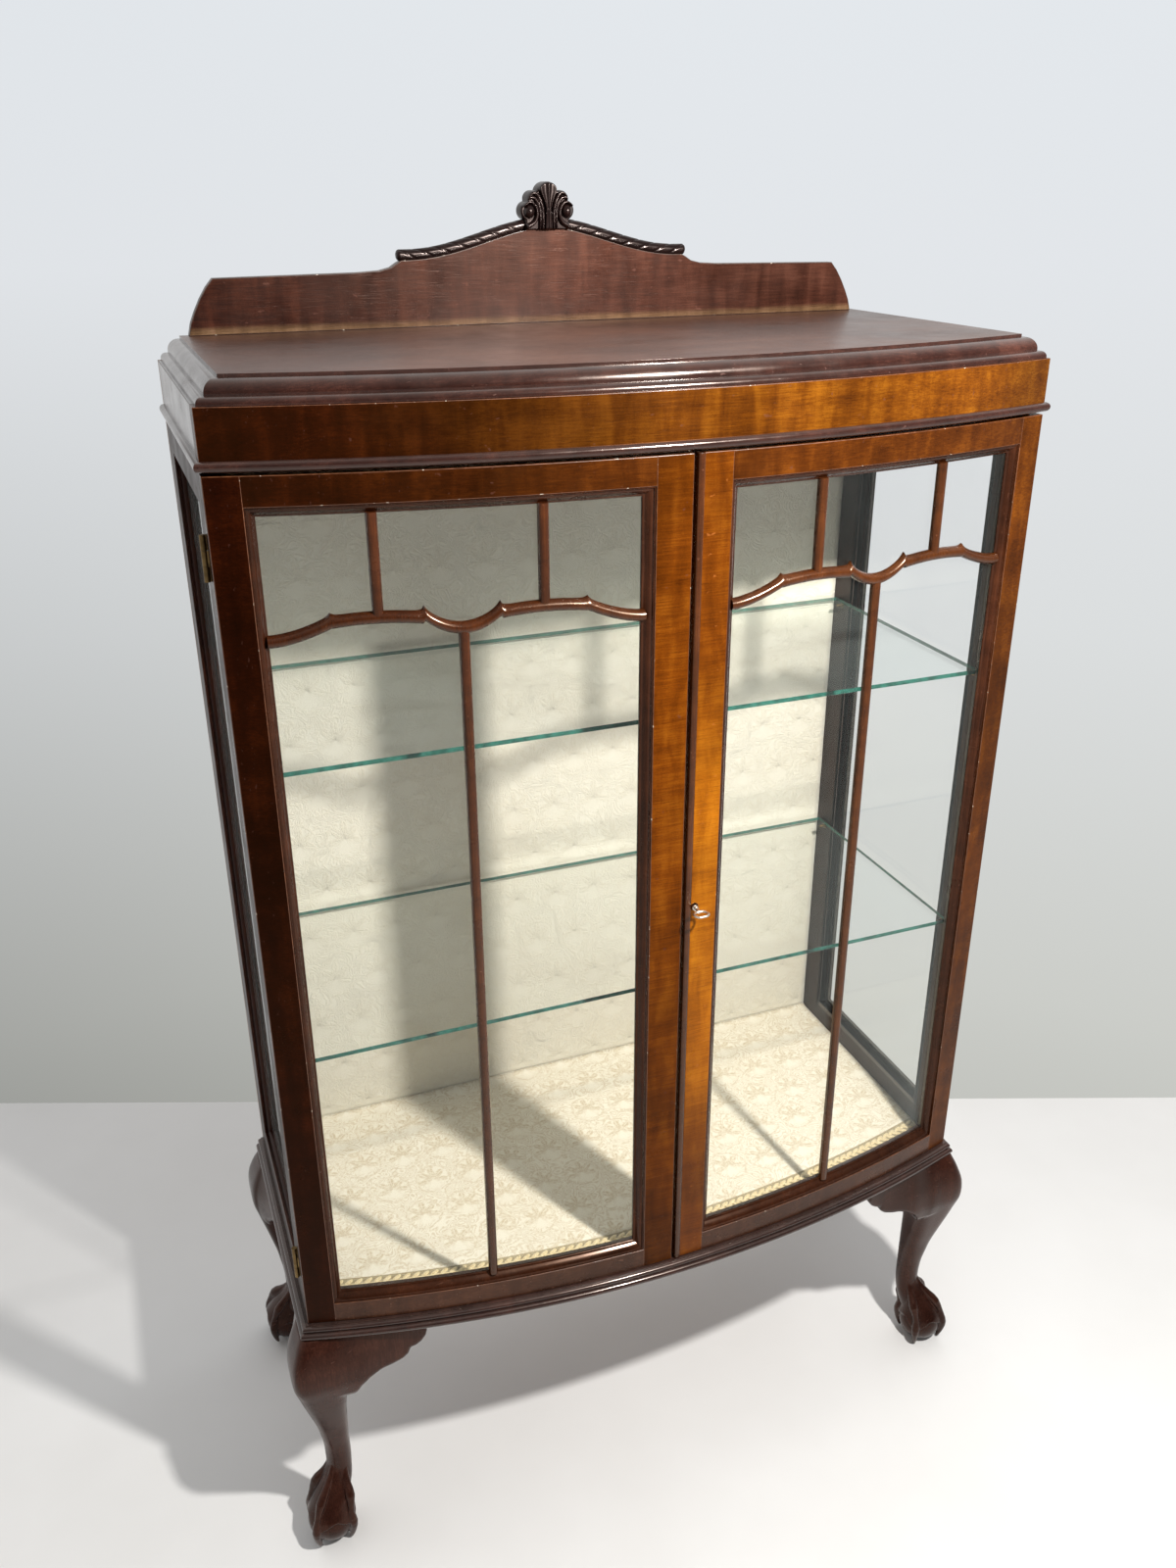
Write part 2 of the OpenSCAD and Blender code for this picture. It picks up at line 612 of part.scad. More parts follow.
module door_leaf(z) {
    leaf_band(door_leaf_inset, z, leaf_x, leaf_edge, hinge_len);
    difference() {
        union() {
            leaf_band(door_leaf_inset, z, leaf_edge - 0.1, half_w + 2.5, knuckle_len - knuckle_gap);
            translate([pin_x, pin_y, z]) cylinder(r = knuckle_r, h = knuckle_len - knuckle_gap,
                                                  center = true, $fn = 48);
        }
        translate([pin_x, pin_y, z]) cylinder(r = pin_r + pin_clear, h = knuckle_len, center = true, $fn = 48);
    }
}

module case_hinge_leaves() color(brass) in_row() both_sides() for (z = hinge_mid) case_leaf(z);
module door_hinges() for (z = hinge_mid) door_leaf(z);

// Lock: a brass case let into the back of the right door's meeting stile
lock_z = door_z0 + key_h;
lock_x0 = 5;
lock_x1 = 33;
lock_y0 = -57;
lock_y1 = bow_y(0, door_t) - 0.2;
lock_below = 20;
lock_above = 22;
shank_r = 2;
bit_r = 6.5;
bit_room = 0.7;
bolt_y0 = -53;
bolt_y1 = -49;
bolt_z0 = lock_z + 7.4;
bolt_z1 = bolt_z0 + 8;
bolt_tip = 2.7;
bolt_tail = 21;
slot_room = 0.3;
keyhole_r = 4.3;
bead_strip_w = 7;
bead_strip_t = 6;
bead_strip_out = 2;

module bolt_slot(x0, x1, room) translate([x0, bolt_y0 - room, bolt_z0 - room])
    cube([x1 - x0, bolt_y1 - bolt_y0 + 2 * room, bolt_z1 - bolt_z0 + 2 * room]);

module right_meeting_stile() color(veneer) in_row() difference() {
    bow_band(0, door_t, door_z0, door_z1, door_x0, meeting_x);
    bow_band(-1, bead_strip_t, door_z0 - 1, door_z1 + 1, 0, door_x0 + bead_strip_w);
    translate([lock_x0, lock_y0, lock_z - lock_below])
        cube([lock_x1 - lock_x0, 30, lock_below + lock_above]);
    bolt_slot(0, lock_x0 + 1, 2 * slot_room);
    translate([key_x, lock_y0 + 1, lock_z]) rotate([90, 0, 0]) cylinder(r = keyhole_r, h = 20, $fn = 48);
}

module left_meeting_stile() color(veneer) in_row() difference() {
    mirror([1, 0, 0]) bow_band(0, door_t, door_z0, door_z1, door_x0, meeting_x);
    bolt_slot(-door_x0 - lock_throw + 1, 0, 2 * slot_room);
}

module meeting_bead() color(mahogany) in_row()
    bow_band(-bead_strip_out, bead_strip_t, door_z0, door_z1, door_x0, door_x0 + bead_strip_w);

module lock_case() color(brass) in_row() difference() {
    translate([lock_x0, lock_y0, lock_z - lock_below])
        cube([lock_x1 - lock_x0, lock_y1 - lock_y0, lock_below + lock_above]);
    translate([key_x, -47.4, lock_z]) rotate([90, 0, 0]) cylinder(r = bit_r + bit_room, h = 8.1, $fn = 48);
    translate([key_x, -46, lock_z]) rotate([90, 0, 0]) cylinder(r = shank_r + pin_clear, h = 20, $fn = 48);
    bolt_slot(lock_x0 - 1, bolt_tail + 1.5, slot_room);
}

module lock_bolt() color(steel) in_row() bolt_slot(bolt_tip, bolt_tail, 0);

// Key: a shank with a bit inside the lock and an oval ring outside. It is drawn with the
// ring and the bit lying flat, as the door is unlocked.
ring_r = 7.5;
ring_long = 2.2;
ring_wire = 3.2;
ring_t = 2.8;
ring_y = front_y + ring_r;
shank_end_y = -46.3;

module ring_outline(r) {
    for (s = [-1, 1]) translate([s * ring_long, 0]) circle(r = r, $fn = 48);
    square([2 * ring_long, 2 * r], center = true);
}

module key() color([0.80, 0.78, 0.72]) in_row() translate([key_x, 0, lock_z]) {
    translate([0, shank_end_y, 0]) rotate([90, 0, 0])
        cylinder(r = shank_r, h = shank_end_y - ring_y - ring_r + ring_wire, $fn = 48);
    translate([0, ring_y, -ring_t / 2]) linear_extrude(height = ring_t) difference() {
        ring_outline(ring_r);
        ring_outline(ring_r - ring_wire);
    }
    translate([0, -53.5, -1]) cube([bit_r, 5, 2]);
}

// Slide bolt inside the top of the left door: it rises behind the frieze to hold the door shut
bolt_x = -20;
slide_r = 3;
slide_inset = door_t + 2.5;
slide_travel = 10;
slide_len = 60;
slide_y = bow_y(bolt_x, slide_inset + slide_r);
slide_top = door_z1 - 2;
plate_t = 1.6;

module bolt_staple(z) translate([bolt_x, slide_y, z]) difference() {
    translate([-6, -slide_r - 3, 0]) cube([12, 2 * slide_r + 5, 7]);
    translate([0, 0, -1]) cylinder(r = slide_r + 0.08, h = 9, $fn = 48);
}

module bolt_plate() color(brass) in_row() difference() {
    union() {
        mirror([1, 0, 0]) bow_band(door_t, door_t + plate_t, slide_top - 74, slide_top - 2, 10, 30);
        for (z = [slide_top - 16, slide_top - 55]) bolt_staple(z);
    }
    mirror([1, 0, 0]) bow_band(door_t - 10, door_t, slide_top - 80, slide_top + 2, 5, 35);
}

module door_bolt() color(brass) in_row() {
    translate([bolt_x, slide_y, slide_top - slide_len]) cylinder(r = slide_r, h = slide_len, $fn = 48);
    translate([bolt_x, slide_y + 9, slide_top - 36]) rotate([90, 0, 0]) cylinder(r = 2, h = 9, $fn = 32);
    translate([bolt_x, slide_y + 9, slide_top - 36]) sphere(r = 4, $fn = 32);
}

module left_outer_stile() color(veneer) in_row() mirror([1, 0, 0]) door_outer_stile();
module left_door_top_rail() color(veneer) in_row() mirror([1, 0, 0]) door_top_rail();
module left_door_bottom_rail() color(veneer) in_row() mirror([1, 0, 0]) door_bottom_rail();
module left_sight_moulding() color(mahogany) in_row() mirror([1, 0, 0]) door_sight_moulding();
module left_astragals() color(mahogany) in_row() mirror([1, 0, 0]) door_astragals();
module left_door_glass() color([0.8, 0.9, 0.88, 0.4]) in_row() mirror([1, 0, 0]) door_glass();
module left_glazing_bead() color(mahogany) in_row() mirror([1, 0, 0]) door_glazing_bead();
module left_door_hinges() color(brass) in_row() mirror([1, 0, 0]) door_hinges();
module right_outer_stile() color(veneer) in_row() door_outer_stile();
module right_door_top_rail() color(veneer) in_row() door_top_rail();
module right_door_bottom_rail() color(veneer) in_row() door_bottom_rail();
module right_sight_moulding() color(mahogany) in_row() door_sight_moulding();
module right_astragals() color(mahogany) in_row() door_astragals();
module right_door_glass() color([0.8, 0.9, 0.88, 0.4]) in_row() door_glass();
module right_glazing_bead() color(mahogany) in_row() door_glazing_bead();
module right_door_hinges() color(brass) in_row() door_hinges();

top_board();
gallery_board();
crest_carving();
rope_mouldings();
frieze_front();
left_frieze();
right_frieze();
frieze_bead();
left_front_stile();
left_back_stile();
left_top_rail();
left_bottom_rail();
right_front_stile();
right_back_stile();
right_top_rail();
right_bottom_rail();
left_side_glass();
right_side_glass();
side_glazing_beads();
back_panel();
back_lining();
floor_board();
floor_lining();
floor_gimp();
front_base_moulding();
left_base_moulding();
right_base_moulding();
front_left_leg();
front_right_leg();
back_left_leg();
back_right_leg();
knee_brackets();
upper_shelf();
lower_shelf();
shelf_pegs();
case_hinge_leaves();
left_outer_stile();
left_meeting_stile();
left_door_top_rail();
left_door_bottom_rail();
left_sight_moulding();
left_astragals();
left_door_glass();
left_glazing_bead();
left_door_hinges();
bolt_plate();
door_bolt();
right_outer_stile();
right_meeting_stile();
right_door_top_rail();
right_door_bottom_rail();
right_sight_moulding();
right_astragals();
right_door_glass();
right_glazing_bead();
right_door_hinges();
meeting_bead();
lock_case();
lock_bolt();
key();
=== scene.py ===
"""Bow-front china cabinet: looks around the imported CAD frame. Lengths are in millimetres in the
case frame (y = 0 on the line of the front corners) until m() turns them into row-frame metres."""
from math import cos, exp, hypot, pi, radians, sin, sqrt

import bmesh
import bpy
import numpy as np
from mathutils import Matrix, Vector


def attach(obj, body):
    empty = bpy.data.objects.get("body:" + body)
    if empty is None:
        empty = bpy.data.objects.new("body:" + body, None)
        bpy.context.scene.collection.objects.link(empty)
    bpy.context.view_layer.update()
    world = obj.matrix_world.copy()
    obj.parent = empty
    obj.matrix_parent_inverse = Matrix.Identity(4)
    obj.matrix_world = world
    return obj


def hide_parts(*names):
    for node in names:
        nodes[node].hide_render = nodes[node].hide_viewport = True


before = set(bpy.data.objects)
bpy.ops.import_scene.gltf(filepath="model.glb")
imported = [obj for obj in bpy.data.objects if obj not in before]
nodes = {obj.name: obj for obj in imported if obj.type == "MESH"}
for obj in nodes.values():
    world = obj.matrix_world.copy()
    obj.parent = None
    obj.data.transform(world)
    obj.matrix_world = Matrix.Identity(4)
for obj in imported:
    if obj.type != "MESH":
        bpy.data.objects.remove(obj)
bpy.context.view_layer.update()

# ------- case sizes, as in the CAD model
HALF, RISE, DEPTH, SHIFT = 457.0, 64.0, 375.0, -150.0
BOW_R = (HALF * HALF + RISE * RISE) / (2 * RISE)
BOW_CY = BOW_R - RISE
LEG_H, BASE_TOP, DOOR_Z0, DOOR_Z1 = 352.0, 370.0, 371.0, 1392.0
FRIEZE_Z, FRIEZE_TOP, TOP_Z = 1395.5, 1452.0, 1476.7
WALL, BACK_Y = 22.0, 369.0
SIDE_Y0, SIDE_Y1, SIDE_Z0, SIDE_Z1 = 50, 320, BASE_TOP + 45, FRIEZE_Z - 37  # opening in a side
BOARD_TOP, LINING_HALF = BASE_TOP + 9.8, 435
SHELVES, SHELF_T = (("upper_shelf", 1086.0), ("lower_shelf", 733.0)), 5.5
DOOR_T, MEET_X, OUTER_X = 20.0, 41.0, 424.0
PANEL_Z0, PANEL_Z1 = DOOR_Z0 + 28, DOOR_Z1 - 29
SIGHT_W = 10.5
SERP_Z = DOOR_Z0 + 866
LOCK_Z, KEY_X = DOOR_Z0 + 517, 13.5
BOLT_Y0, BOLT_Y1, BOLT_Z0, BOLT_Z1 = -53.6, -48.4, LOCK_Z + 6.8, LOCK_Z + 16.0  # slot of the lock's bolt
SIDES = (("left", True), ("right", False))  # name, and whether the part is mirrored
EDGE = dict(bevel=0.8, wear=True)


def bow(x, inset=0.0):
    return BOW_CY - sqrt((BOW_R - inset) ** 2 - x * x)


def m(p):
    return (p[0] / 1000, (p[1] + SHIFT) / 1000, p[2] / 1000)


# ------- mesh helpers
def spread(a, b, n):
    return [a + (b - a) * i / n for i in range(n + 1)]


def circle(n):
    """Cosine and sine of n angles round a circle."""
    return [(cos(2 * pi * k / n), sin(2 * pi * k / n)) for k in range(n)]


def loft(rings, cap=True):
    n = len(rings[0])
    verts = [p for r in rings for p in r]
    faces = []
    for i in range(len(rings) - 1):
        for j in range(n):
            a, b = i * n + j, i * n + (j + 1) % n
            faces.append((a, b, b + n, a + n))
    if cap:
        faces.append(tuple(range(n))[::-1])
        faces.append(tuple((len(rings) - 1) * n + j for j in range(n)))
    return verts, faces


def merged(*parts):
    verts, faces = [], []
    for v, f in parts:
        k = len(verts)
        verts += v
        faces += [tuple(i + k for i in q) for q in f]
    return verts, faces


def mirrored(part, flip=True):
    v, f = part
    return ([(-p[0], p[1], p[2]) for p in v], [q[::-1] for q in f]) if flip else part


def turn_out(bm):
    bmesh.ops.recalc_face_normals(bm, faces=bm.faces)


def show(name, data):
    o = bpy.data.objects.new(name, data)
    bpy.context.scene.collection.objects.link(o)
    return o


def new_object(name, verts, faces, mats=(), edit=turn_out):
    me = bpy.data.meshes.new(name)
    me.from_pydata(verts, [], faces)
    for mt in mats:
        me.materials.append(mt)
    bm = bmesh.new()
    bm.from_mesh(me)
    edit(bm)
    bm.to_mesh(me)
    bm.free()
    return show(name, me)


def add_bevel(o, width, segs, limit, mat):
    b = o.modifiers.new("edge", "BEVEL")
    b.width, b.segments, b.limit_method, b.angle_limit, b.material = width, segs, "ANGLE", limit, mat
    b.harden_normals = True


def piece(name, part, mats, body="case", stands_for=(), slot=None, bevel=0.0, segs=2, sharp=36,
          face_mat=None, wear=False):
    """A mesh piece from (verts, faces) in millimetres. wear gives the bevelled edges material 1."""
    def smooth(bm):
        bmesh.ops.remove_doubles(bm, verts=bm.verts, dist=1e-6)
        turn_out(bm)
        for f in bm.faces:
            f.smooth = True
            if face_mat:
                f.material_index = face_mat(f)
        for e in bm.edges:
            if len(e.link_faces) == 2 and e.calc_face_angle(0) > radians(sharp):
                e.smooth = False

    o = new_object(name, [m(p) for p in part[0]], part[1], mats, smooth)
    if bevel:
        add_bevel(o, bevel / 1000, segs, radians(sharp), 1 if wear else -1)
    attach(o, body)
    if stands_for:
        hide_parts(*stands_for)
    return o


def apply_modifiers(o):
    dg = bpy.context.evaluated_depsgraph_get()
    me = bpy.data.meshes.new_from_object(o.evaluated_get(dg))
    old = o.data
    o.modifiers.clear()
    o.data = me
    bpy.data.meshes.remove(old)


def cut(o, part):
    """Cuts a solid out of a piece, and puts the piece's bevel back."""
    c = new_object("cutter", [m(p) for p in part[0]], part[1])
    bevels = [(x.width, x.segments, x.angle_limit, x.material) for x in o.modifiers]
    o.modifiers.clear()
    b = o.modifiers.new("cut", "BOOLEAN")
    b.operation, b.solver, b.object = "DIFFERENCE", "EXACT", c
    bpy.context.view_layer.update()
    apply_modifiers(o)
    for p in o.data.polygons:
        p.use_smooth = True
    for settings in bevels:
        add_bevel(o, *settings)
    bpy.data.objects.remove(c)


def carve(name, parts, voxel, ease=3):
    """Joins overlapping solids into one carved surface."""
    v, f = merged(*parts)
    o = new_object(name, [(p[0] / 1000, p[1] / 1000, p[2] / 1000) for p in v], f)
    r = o.modifiers.new("join", "REMESH")
    r.mode, r.voxel_size, r.use_smooth_shade, r.adaptivity = "VOXEL", voxel, True, 0.0
    s = o.modifiers.new("ease", "SMOOTH")
    s.factor, s.iterations = 0.5, ease
    apply_modifiers(o)
    out = ([tuple(c * 1000 for c in x.co) for x in o.data.vertices],
           [tuple(p.vertices) for p in o.data.polygons])
    bpy.data.objects.remove(o)
    return out


def band(front, back, z0, z1, x0, x1, step=8.0):
    """A bowed bar: rectangle in (inset, z), swept along x."""
    n = max(2, int(abs(x1 - x0) / step) + 1)
    return loft([[(x, bow(x, front), z0), (x, bow(x, back), z0), (x, bow(x, back), z1), (x, bow(x, front), z1)]
                 for x in spread(x0, x1, n)])


def box(x0, x1, y0, y1, z0, z1):
    return loft([[(x0, y0, z), (x1, y0, z), (x1, y1, z), (x0, y1, z)] for z in (z0, z1)])


def arc(cx, cz, r, a0, a1, n=6):
    return [(cx + r * cos(radians(a)), cz + r * sin(radians(a))) for a in spread(a0, a1, n)]


def plan_line(p, y_end, n=56):
    """Plan of the case's front and sides at projection p: back left, along the bow, back right."""
    hw, y_side = HALF + p, 180.0
    front = [(x, BOW_CY - sqrt((BOW_R + p) ** 2 - x * x)) for x in spread(-hw, hw, n)]
    return [(-hw, y_end), (-hw, y_side)] + front + [(hw, y_side), (hw, y_end)]


def turned(profile, x, z, sides):
    """A turned solid on an axis along y at (x, z), from (y, radius) pairs."""
    return loft([[(x + r * c, y, z + r * s) for c, s in circle(sides)] for y, r in profile])


def tube(path, radii, sides):
    """A tube through points with a parallel-transported frame and rounded ends."""
    pts = [Vector(p) for p in path]
    n = len(pts)
    radii = radii if hasattr(radii, "__len__") else [radii] * n
    tang = [(pts[min(i + 1, n - 1)] - pts[max(i - 1, 0)]).normalized() for i in range(n)]
    up = Vector((0, 1, 0)) if abs(tang[0].y) < 0.9 else Vector((1, 0, 0))
    u = (up - tang[0] * up.dot(tang[0])).normalized()
    rings = []
    for p, along, r in zip(pts, tang, radii):
        u = (u - along * u.dot(along)).normalized()
        w = along.cross(u)
        rings.append([tuple(p + u * (r * c) + w * (r * s)) for c, s in circle(sides)])

    def dome(ring, centre, direction, r):
        return [[tuple(centre + (Vector(p) - centre) * f + direction * r * h) for p in ring]
                for f, h in ((0.85, 0.4), (0.45, 0.75))]
    head = dome(rings[0], pts[0], -tang[0], radii[0])[::-1]
    tail = dome(rings[-1], pts[-1], tang[-1], radii[-1])
    return loft(head + rings + tail)


def ball(radii, seg, rings):
    """An ellipsoid round the origin, its poles cut flat."""
    out = []
    for i in range(1, rings):
        a = pi * i / rings
        out.append([(radii[0] * sin(a) * c, radii[1] * sin(a) * s, -radii[2] * cos(a)) for c, s in circle(seg)])
    return loft(out)


# ------- materials
EVEN = (1, 1, 1)


def material(name):
    mt = bpy.data.materials.new(name)
    mt.use_nodes = True
    t = mt.node_tree
    t.nodes.clear()
    out = t.nodes.new("ShaderNodeOutputMaterial")
    bs = t.nodes.new("ShaderNodeBsdfPrincipled")
    t.links.new(bs.outputs[0], out.inputs[0])
    return mt, t, bs


def put(t, socket, value):
    """Links a node's output, or sets a constant on the socket itself."""
    if isinstance(value, bpy.types.NodeSocket):
        t.links.new(value, socket)
    else:
        socket.default_value = value


def dress(t, bs, **values):
    """Fills the shader's sockets; an underscore stands for a space in a socket's name."""
    for k, v in values.items():
        put(t, bs.inputs[k.replace("_", " ")], v)


def nd(t, kind, ins=None, out=0, **props):
    n = t.nodes.new(kind)
    for k, v in props.items():
        setattr(n, k, v)
    for k, v in (ins or {}).items():
        put(t, n.inputs[k], v)
    return n.outputs[out]


def coords(t, scale=EVEN, rot=(0, 0, 0), loc=(0, 0, 0)):
    c = nd(t, "ShaderNodeTexCoord", out=3)
    return nd(t, "ShaderNodeMapping", {0: c, 1: loc, 2: rot, 3: scale})


def noise(t, vec, scale, detail=4.0, rough=0.55, dist=0.0):
    return nd(t, "ShaderNodeTexNoise", {"Vector": vec, "Scale": scale, "Detail": detail,
                                         "Roughness": rough, "Distortion": dist})


def calc(t, op, a, b=0.0, c=None, clamp=False):
    ins = {0: a, 1: b}
    if c is not None:
        ins[2] = c
    return nd(t, "ShaderNodeMath", ins, operation=op, use_clamp=clamp)


def mul(t, a, b):
    return calc(t, "MULTIPLY", a, b)


def mad(t, a, b, c):
    return calc(t, "MULTIPLY_ADD", a, b, c)


def sub(t, a, b):
    return calc(t, "SUBTRACT", a, b)


def away(t, a):
    return calc(t, "ABSOLUTE", a)


def ramp(t, fac, stops):
    n = t.nodes.new("ShaderNodeValToRGB")
    e = n.color_ramp.elements
    while len(e) < len(stops):
        e.new(0.5)
    for el, (p, c) in zip(e, stops):
        el.position = p
        el.color = (*c, 1)
    put(t, n.inputs[0], fac)
    return n.outputs[0]


def tone(t, fac, tones):
    """Dark, middle and light colour along fac."""
    return ramp(t, fac, list(zip((0.0, 0.5, 1.0), tones)))


def grey(t, fac, a, b, va, vb, soft=False):
    """Maps fac from a..b to va..vb, clamped."""
    return nd(t, "ShaderNodeMapRange", {0: fac, 1: a, 2: b, 3: va, 4: vb},
              interpolation_type="SMOOTHSTEP" if soft else "LINEAR")


def mix(t, fac, a, b, blend="MIX"):
    n = t.nodes.new("ShaderNodeMix")
    n.data_type = "RGBA"
    n.blend_type = blend
    put(t, n.inputs[0], fac)
    for k, v in ((6, a), (7, b)):
        put(t, n.inputs[k], (*v, 1) if isinstance(v, tuple) else v)
    return n.outputs[2]


def shaded(t, col, level):
    """A colour multiplied by a grey level."""
    return mix(t, 1.0, col, nd(t, "ShaderNodeCombineColor", {0: level, 1: level, 2: level}), "MULTIPLY")


def sep(t, vec, axis):
    return nd(t, "ShaderNodeSeparateXYZ", {0: vec}, out=axis)


def relief(t, strength, distance, height):
    return nd(t, "ShaderNodeBump", {"Strength": strength, "Distance": distance, "Height": height})


def times(colour, k, more=0.0):
    return tuple(min(1, c * k + more) for c in colour)


FINE_W, BROAD_W, FIDDLE_W, SPECK_W = 0.34, 0.32, 0.24, 0.16  # shares of the grain's layers
DUST_GREY = (0.42, 0.36, 0.32)


def wood(name, tones, axis="z", rough=0.30, coat=0.35, coat_rough=0.16, figure=1.0, right_sheen=None,
         dust=0.0, seed=0.0, bump=1.0, sheen_and_dust_patch=None, spec=0.42, tint=(1.0, 1.0, 1.0)):
    """Polished mahogany with its grain along an axis; tones are dark, middle and light. Optional tones fade in
    to the right as painted sheen, lighter where the light falls; an optional patch (x, z, half width, half height,
    tones) is lighter: painted sheen on the door stiles, dust along the gallery's foot."""
    mt, t, bs = material(name)
    along = "xyz".index(axis)
    loc = (seed, seed * 1.7, seed * 0.6)

    def drawn(k, rest=1.0):
        return [k if i == along else rest for i in range(3)]

    def layer(scale, *settings):
        return noise(t, coords(t, scale, loc=loc), *settings)

    fine = layer(drawn(0.045), 620, 5, 0.62)
    broad = layer(drawn(0.16), 34, 4, 0.55, 0.9)
    fiddle = layer(drawn(1.0, 0.22), 62, 3, 0.5, 0.4)
    a = mad(t, broad, BROAD_W, mul(t, fine, FINE_W))
    a = mad(t, layer(EVEN, 700, 2, 0.6), SPECK_W, mad(t, fiddle, FIDDLE_W * figure, a))
    middle = 0.5 * (FINE_W + BROAD_W + FIDDLE_W * figure + SPECK_W)
    fac = grey(t, a, middle - 0.16, middle + 0.16, 0.0, 1.0)
    col = tone(t, fac, tones)
    # painted sheen: the veneer turns lighter and more golden towards the right, where the light falls
    if right_sheen:
        w = mad(t, layer(EVEN, 9.0, 2, 0.5), 0.34, sep(t, coords(t), 0))
        col = mix(t, grey(t, w, -0.26, 0.50, 0.0, 1.0, soft=True), col, tone(t, fac, right_sheen))
    # a lighter patch: painted sheen on the door stiles round the meeting stiles, and dust along the gallery's foot
    if sheen_and_dust_patch:
        gx, gz = [calc(t, "DIVIDE", sub(t, sep(t, coords(t), i), sheen_and_dust_patch[k]), sheen_and_dust_patch[k + 2])
                  for i, k in ((0, 0), (2, 1))]
        w = calc(t, "ADD", mul(t, gx, gx), mul(t, gz, gz))
        w = mad(t, layer(EVEN, 7.0, 2, 0.5), 0.8, w)
        col = mix(t, grey(t, w, 0.35, 1.45, 1.0, 0.0, soft=True), col, tone(t, fac, sheen_and_dust_patch[4]))
    pore = grey(t, layer(drawn(0.0225), 1500, 2, 0.5), 0.60, 0.72, 0.0, 0.5)
    col = mix(t, pore, col, times(tones[0], 0.45))
    col = shaded(t, col, grey(t, layer(EVEN, 5.5, 3, 0.5), 0.32, 0.68, 0.66, 1.28))
    # fine light scratches and rubbed spots
    slant = coords(t, (40, 3, 6) if axis == "y" else (3, 40, 6), rot=(0.5, 0.3, 0.8), loc=loc)
    scratch = grey(t, noise(t, slant, 26, 2, 0.5), 0.70, 0.74, 0.0, 0.35)
    col = mix(t, scratch, col, times(tones[2], 1.8, 0.02))
    if dust:
        up = grey(t, sep(t, nd(t, "ShaderNodeNewGeometry", out=1), 2), 0.4, 1.0, 0.0, dust)
        up = mul(t, up, grey(t, noise(t, coords(t), 60, 4, 0.7), 0.3, 0.7, 0.5, 1.2))
        col = mix(t, up, col, DUST_GREY)
    smear = grey(t, noise(t, coords(t), 18, 5, 0.65), 0.3, 0.7, rough - 0.07, rough + 0.11)
    h = mad(t, fine, 0.5, mul(t, pore, -0.6))
    h = mad(t, noise(t, coords(t), 26, 2, 0.5), 1.8, h)
    dress(t, bs, Base_Color=col, Roughness=mad(t, scratch, 0.3, smear), Coat_Weight=coat,
          Coat_Roughness=coat_rough, Specular_IOR_Level=spec, Specular_Tint=(*tint, 1),
          Normal=relief(t, 0.35 * bump, 0.00035, h))
    return mt


def worn(name, colour, rough=0.42):
    mt, t, bs = material(name)
    rub = noise(t, coords(t), 160, 4, 0.7)
    patch = noise(t, coords(t), 30, 3, 0.6)
    f = mul(t, grey(t, rub, 0.35, 0.65, 0, 1), grey(t, patch, 0.35, 0.65, 0.15, 1))
    col = mix(t, f, times(colour, 0.35), colour)
    nick = grey(t, noise(t, coords(t, loc=(0.7, 0.2, 0.4)), 210, 2, 0.5), 0.70, 0.73, 0.0, 0.85)
    dress(t, bs, Base_Color=mix(t, nick, col, (0.62, 0.54, 0.44)), Coat_Weight=0.3, Coat_Roughness=0.2,
          Roughness=grey(t, rub, 0.3, 0.7, rough - 0.1, rough + 0.12))
    return mt


def metal(name, colour, rough, tarnish, scale=120.0, amount=0.6):
    mt, t, bs = material(name)
    n = noise(t, coords(t), scale, 5, 0.65)
    fine = noise(t, coords(t), scale * 6, 2, 0.5)
    dress(t, bs, Base_Color=mix(t, grey(t, n, 0.38, 0.66, 0.0, amount), colour, tarnish), Metallic=1.0,
          Roughness=grey(t, n, 0.3, 0.7, rough, rough + 0.22), Normal=relief(t, 0.25, 0.0001, fine))
    return mt


def glass(name, tint=(0.86, 0.93, 0.90), low=0.018, dusty=0.012):
    """Clear pane: reflections grow towards grazing angles, over a thin veil of dust."""
    mt, t, bs = material(name)
    facing = nd(t, "ShaderNodeLayerWeight", {0: 0.5}, out=1)
    gloss = mad(t, calc(t, "POWER", facing, 4.5), 0.9, low)
    veil = grey(t, noise(t, coords(t), 14, 5, 0.7), 0.45, 0.8, 0.0, 1.0)
    dress(t, bs, Base_Color=(*tint, 1), Metallic=0.85, Roughness=0.03,
          Alpha=calc(t, "MULTIPLY_ADD", veil, dusty, gloss, clamp=True))
    return mt


def glass_edge(name, colour=(0.010, 0.060, 0.044)):
    mt, t, bs = material(name)
    n = noise(t, coords(t), 90, 3, 0.6)
    dress(t, bs, Base_Color=mix(t, grey(t, n, 0.35, 0.65, 0, 1), colour, times(colour, 2.4)), Roughness=0.22,
          Specular_IOR_Level=0.25, Coat_Weight=0.08, Coat_Roughness=0.1)
    return mt


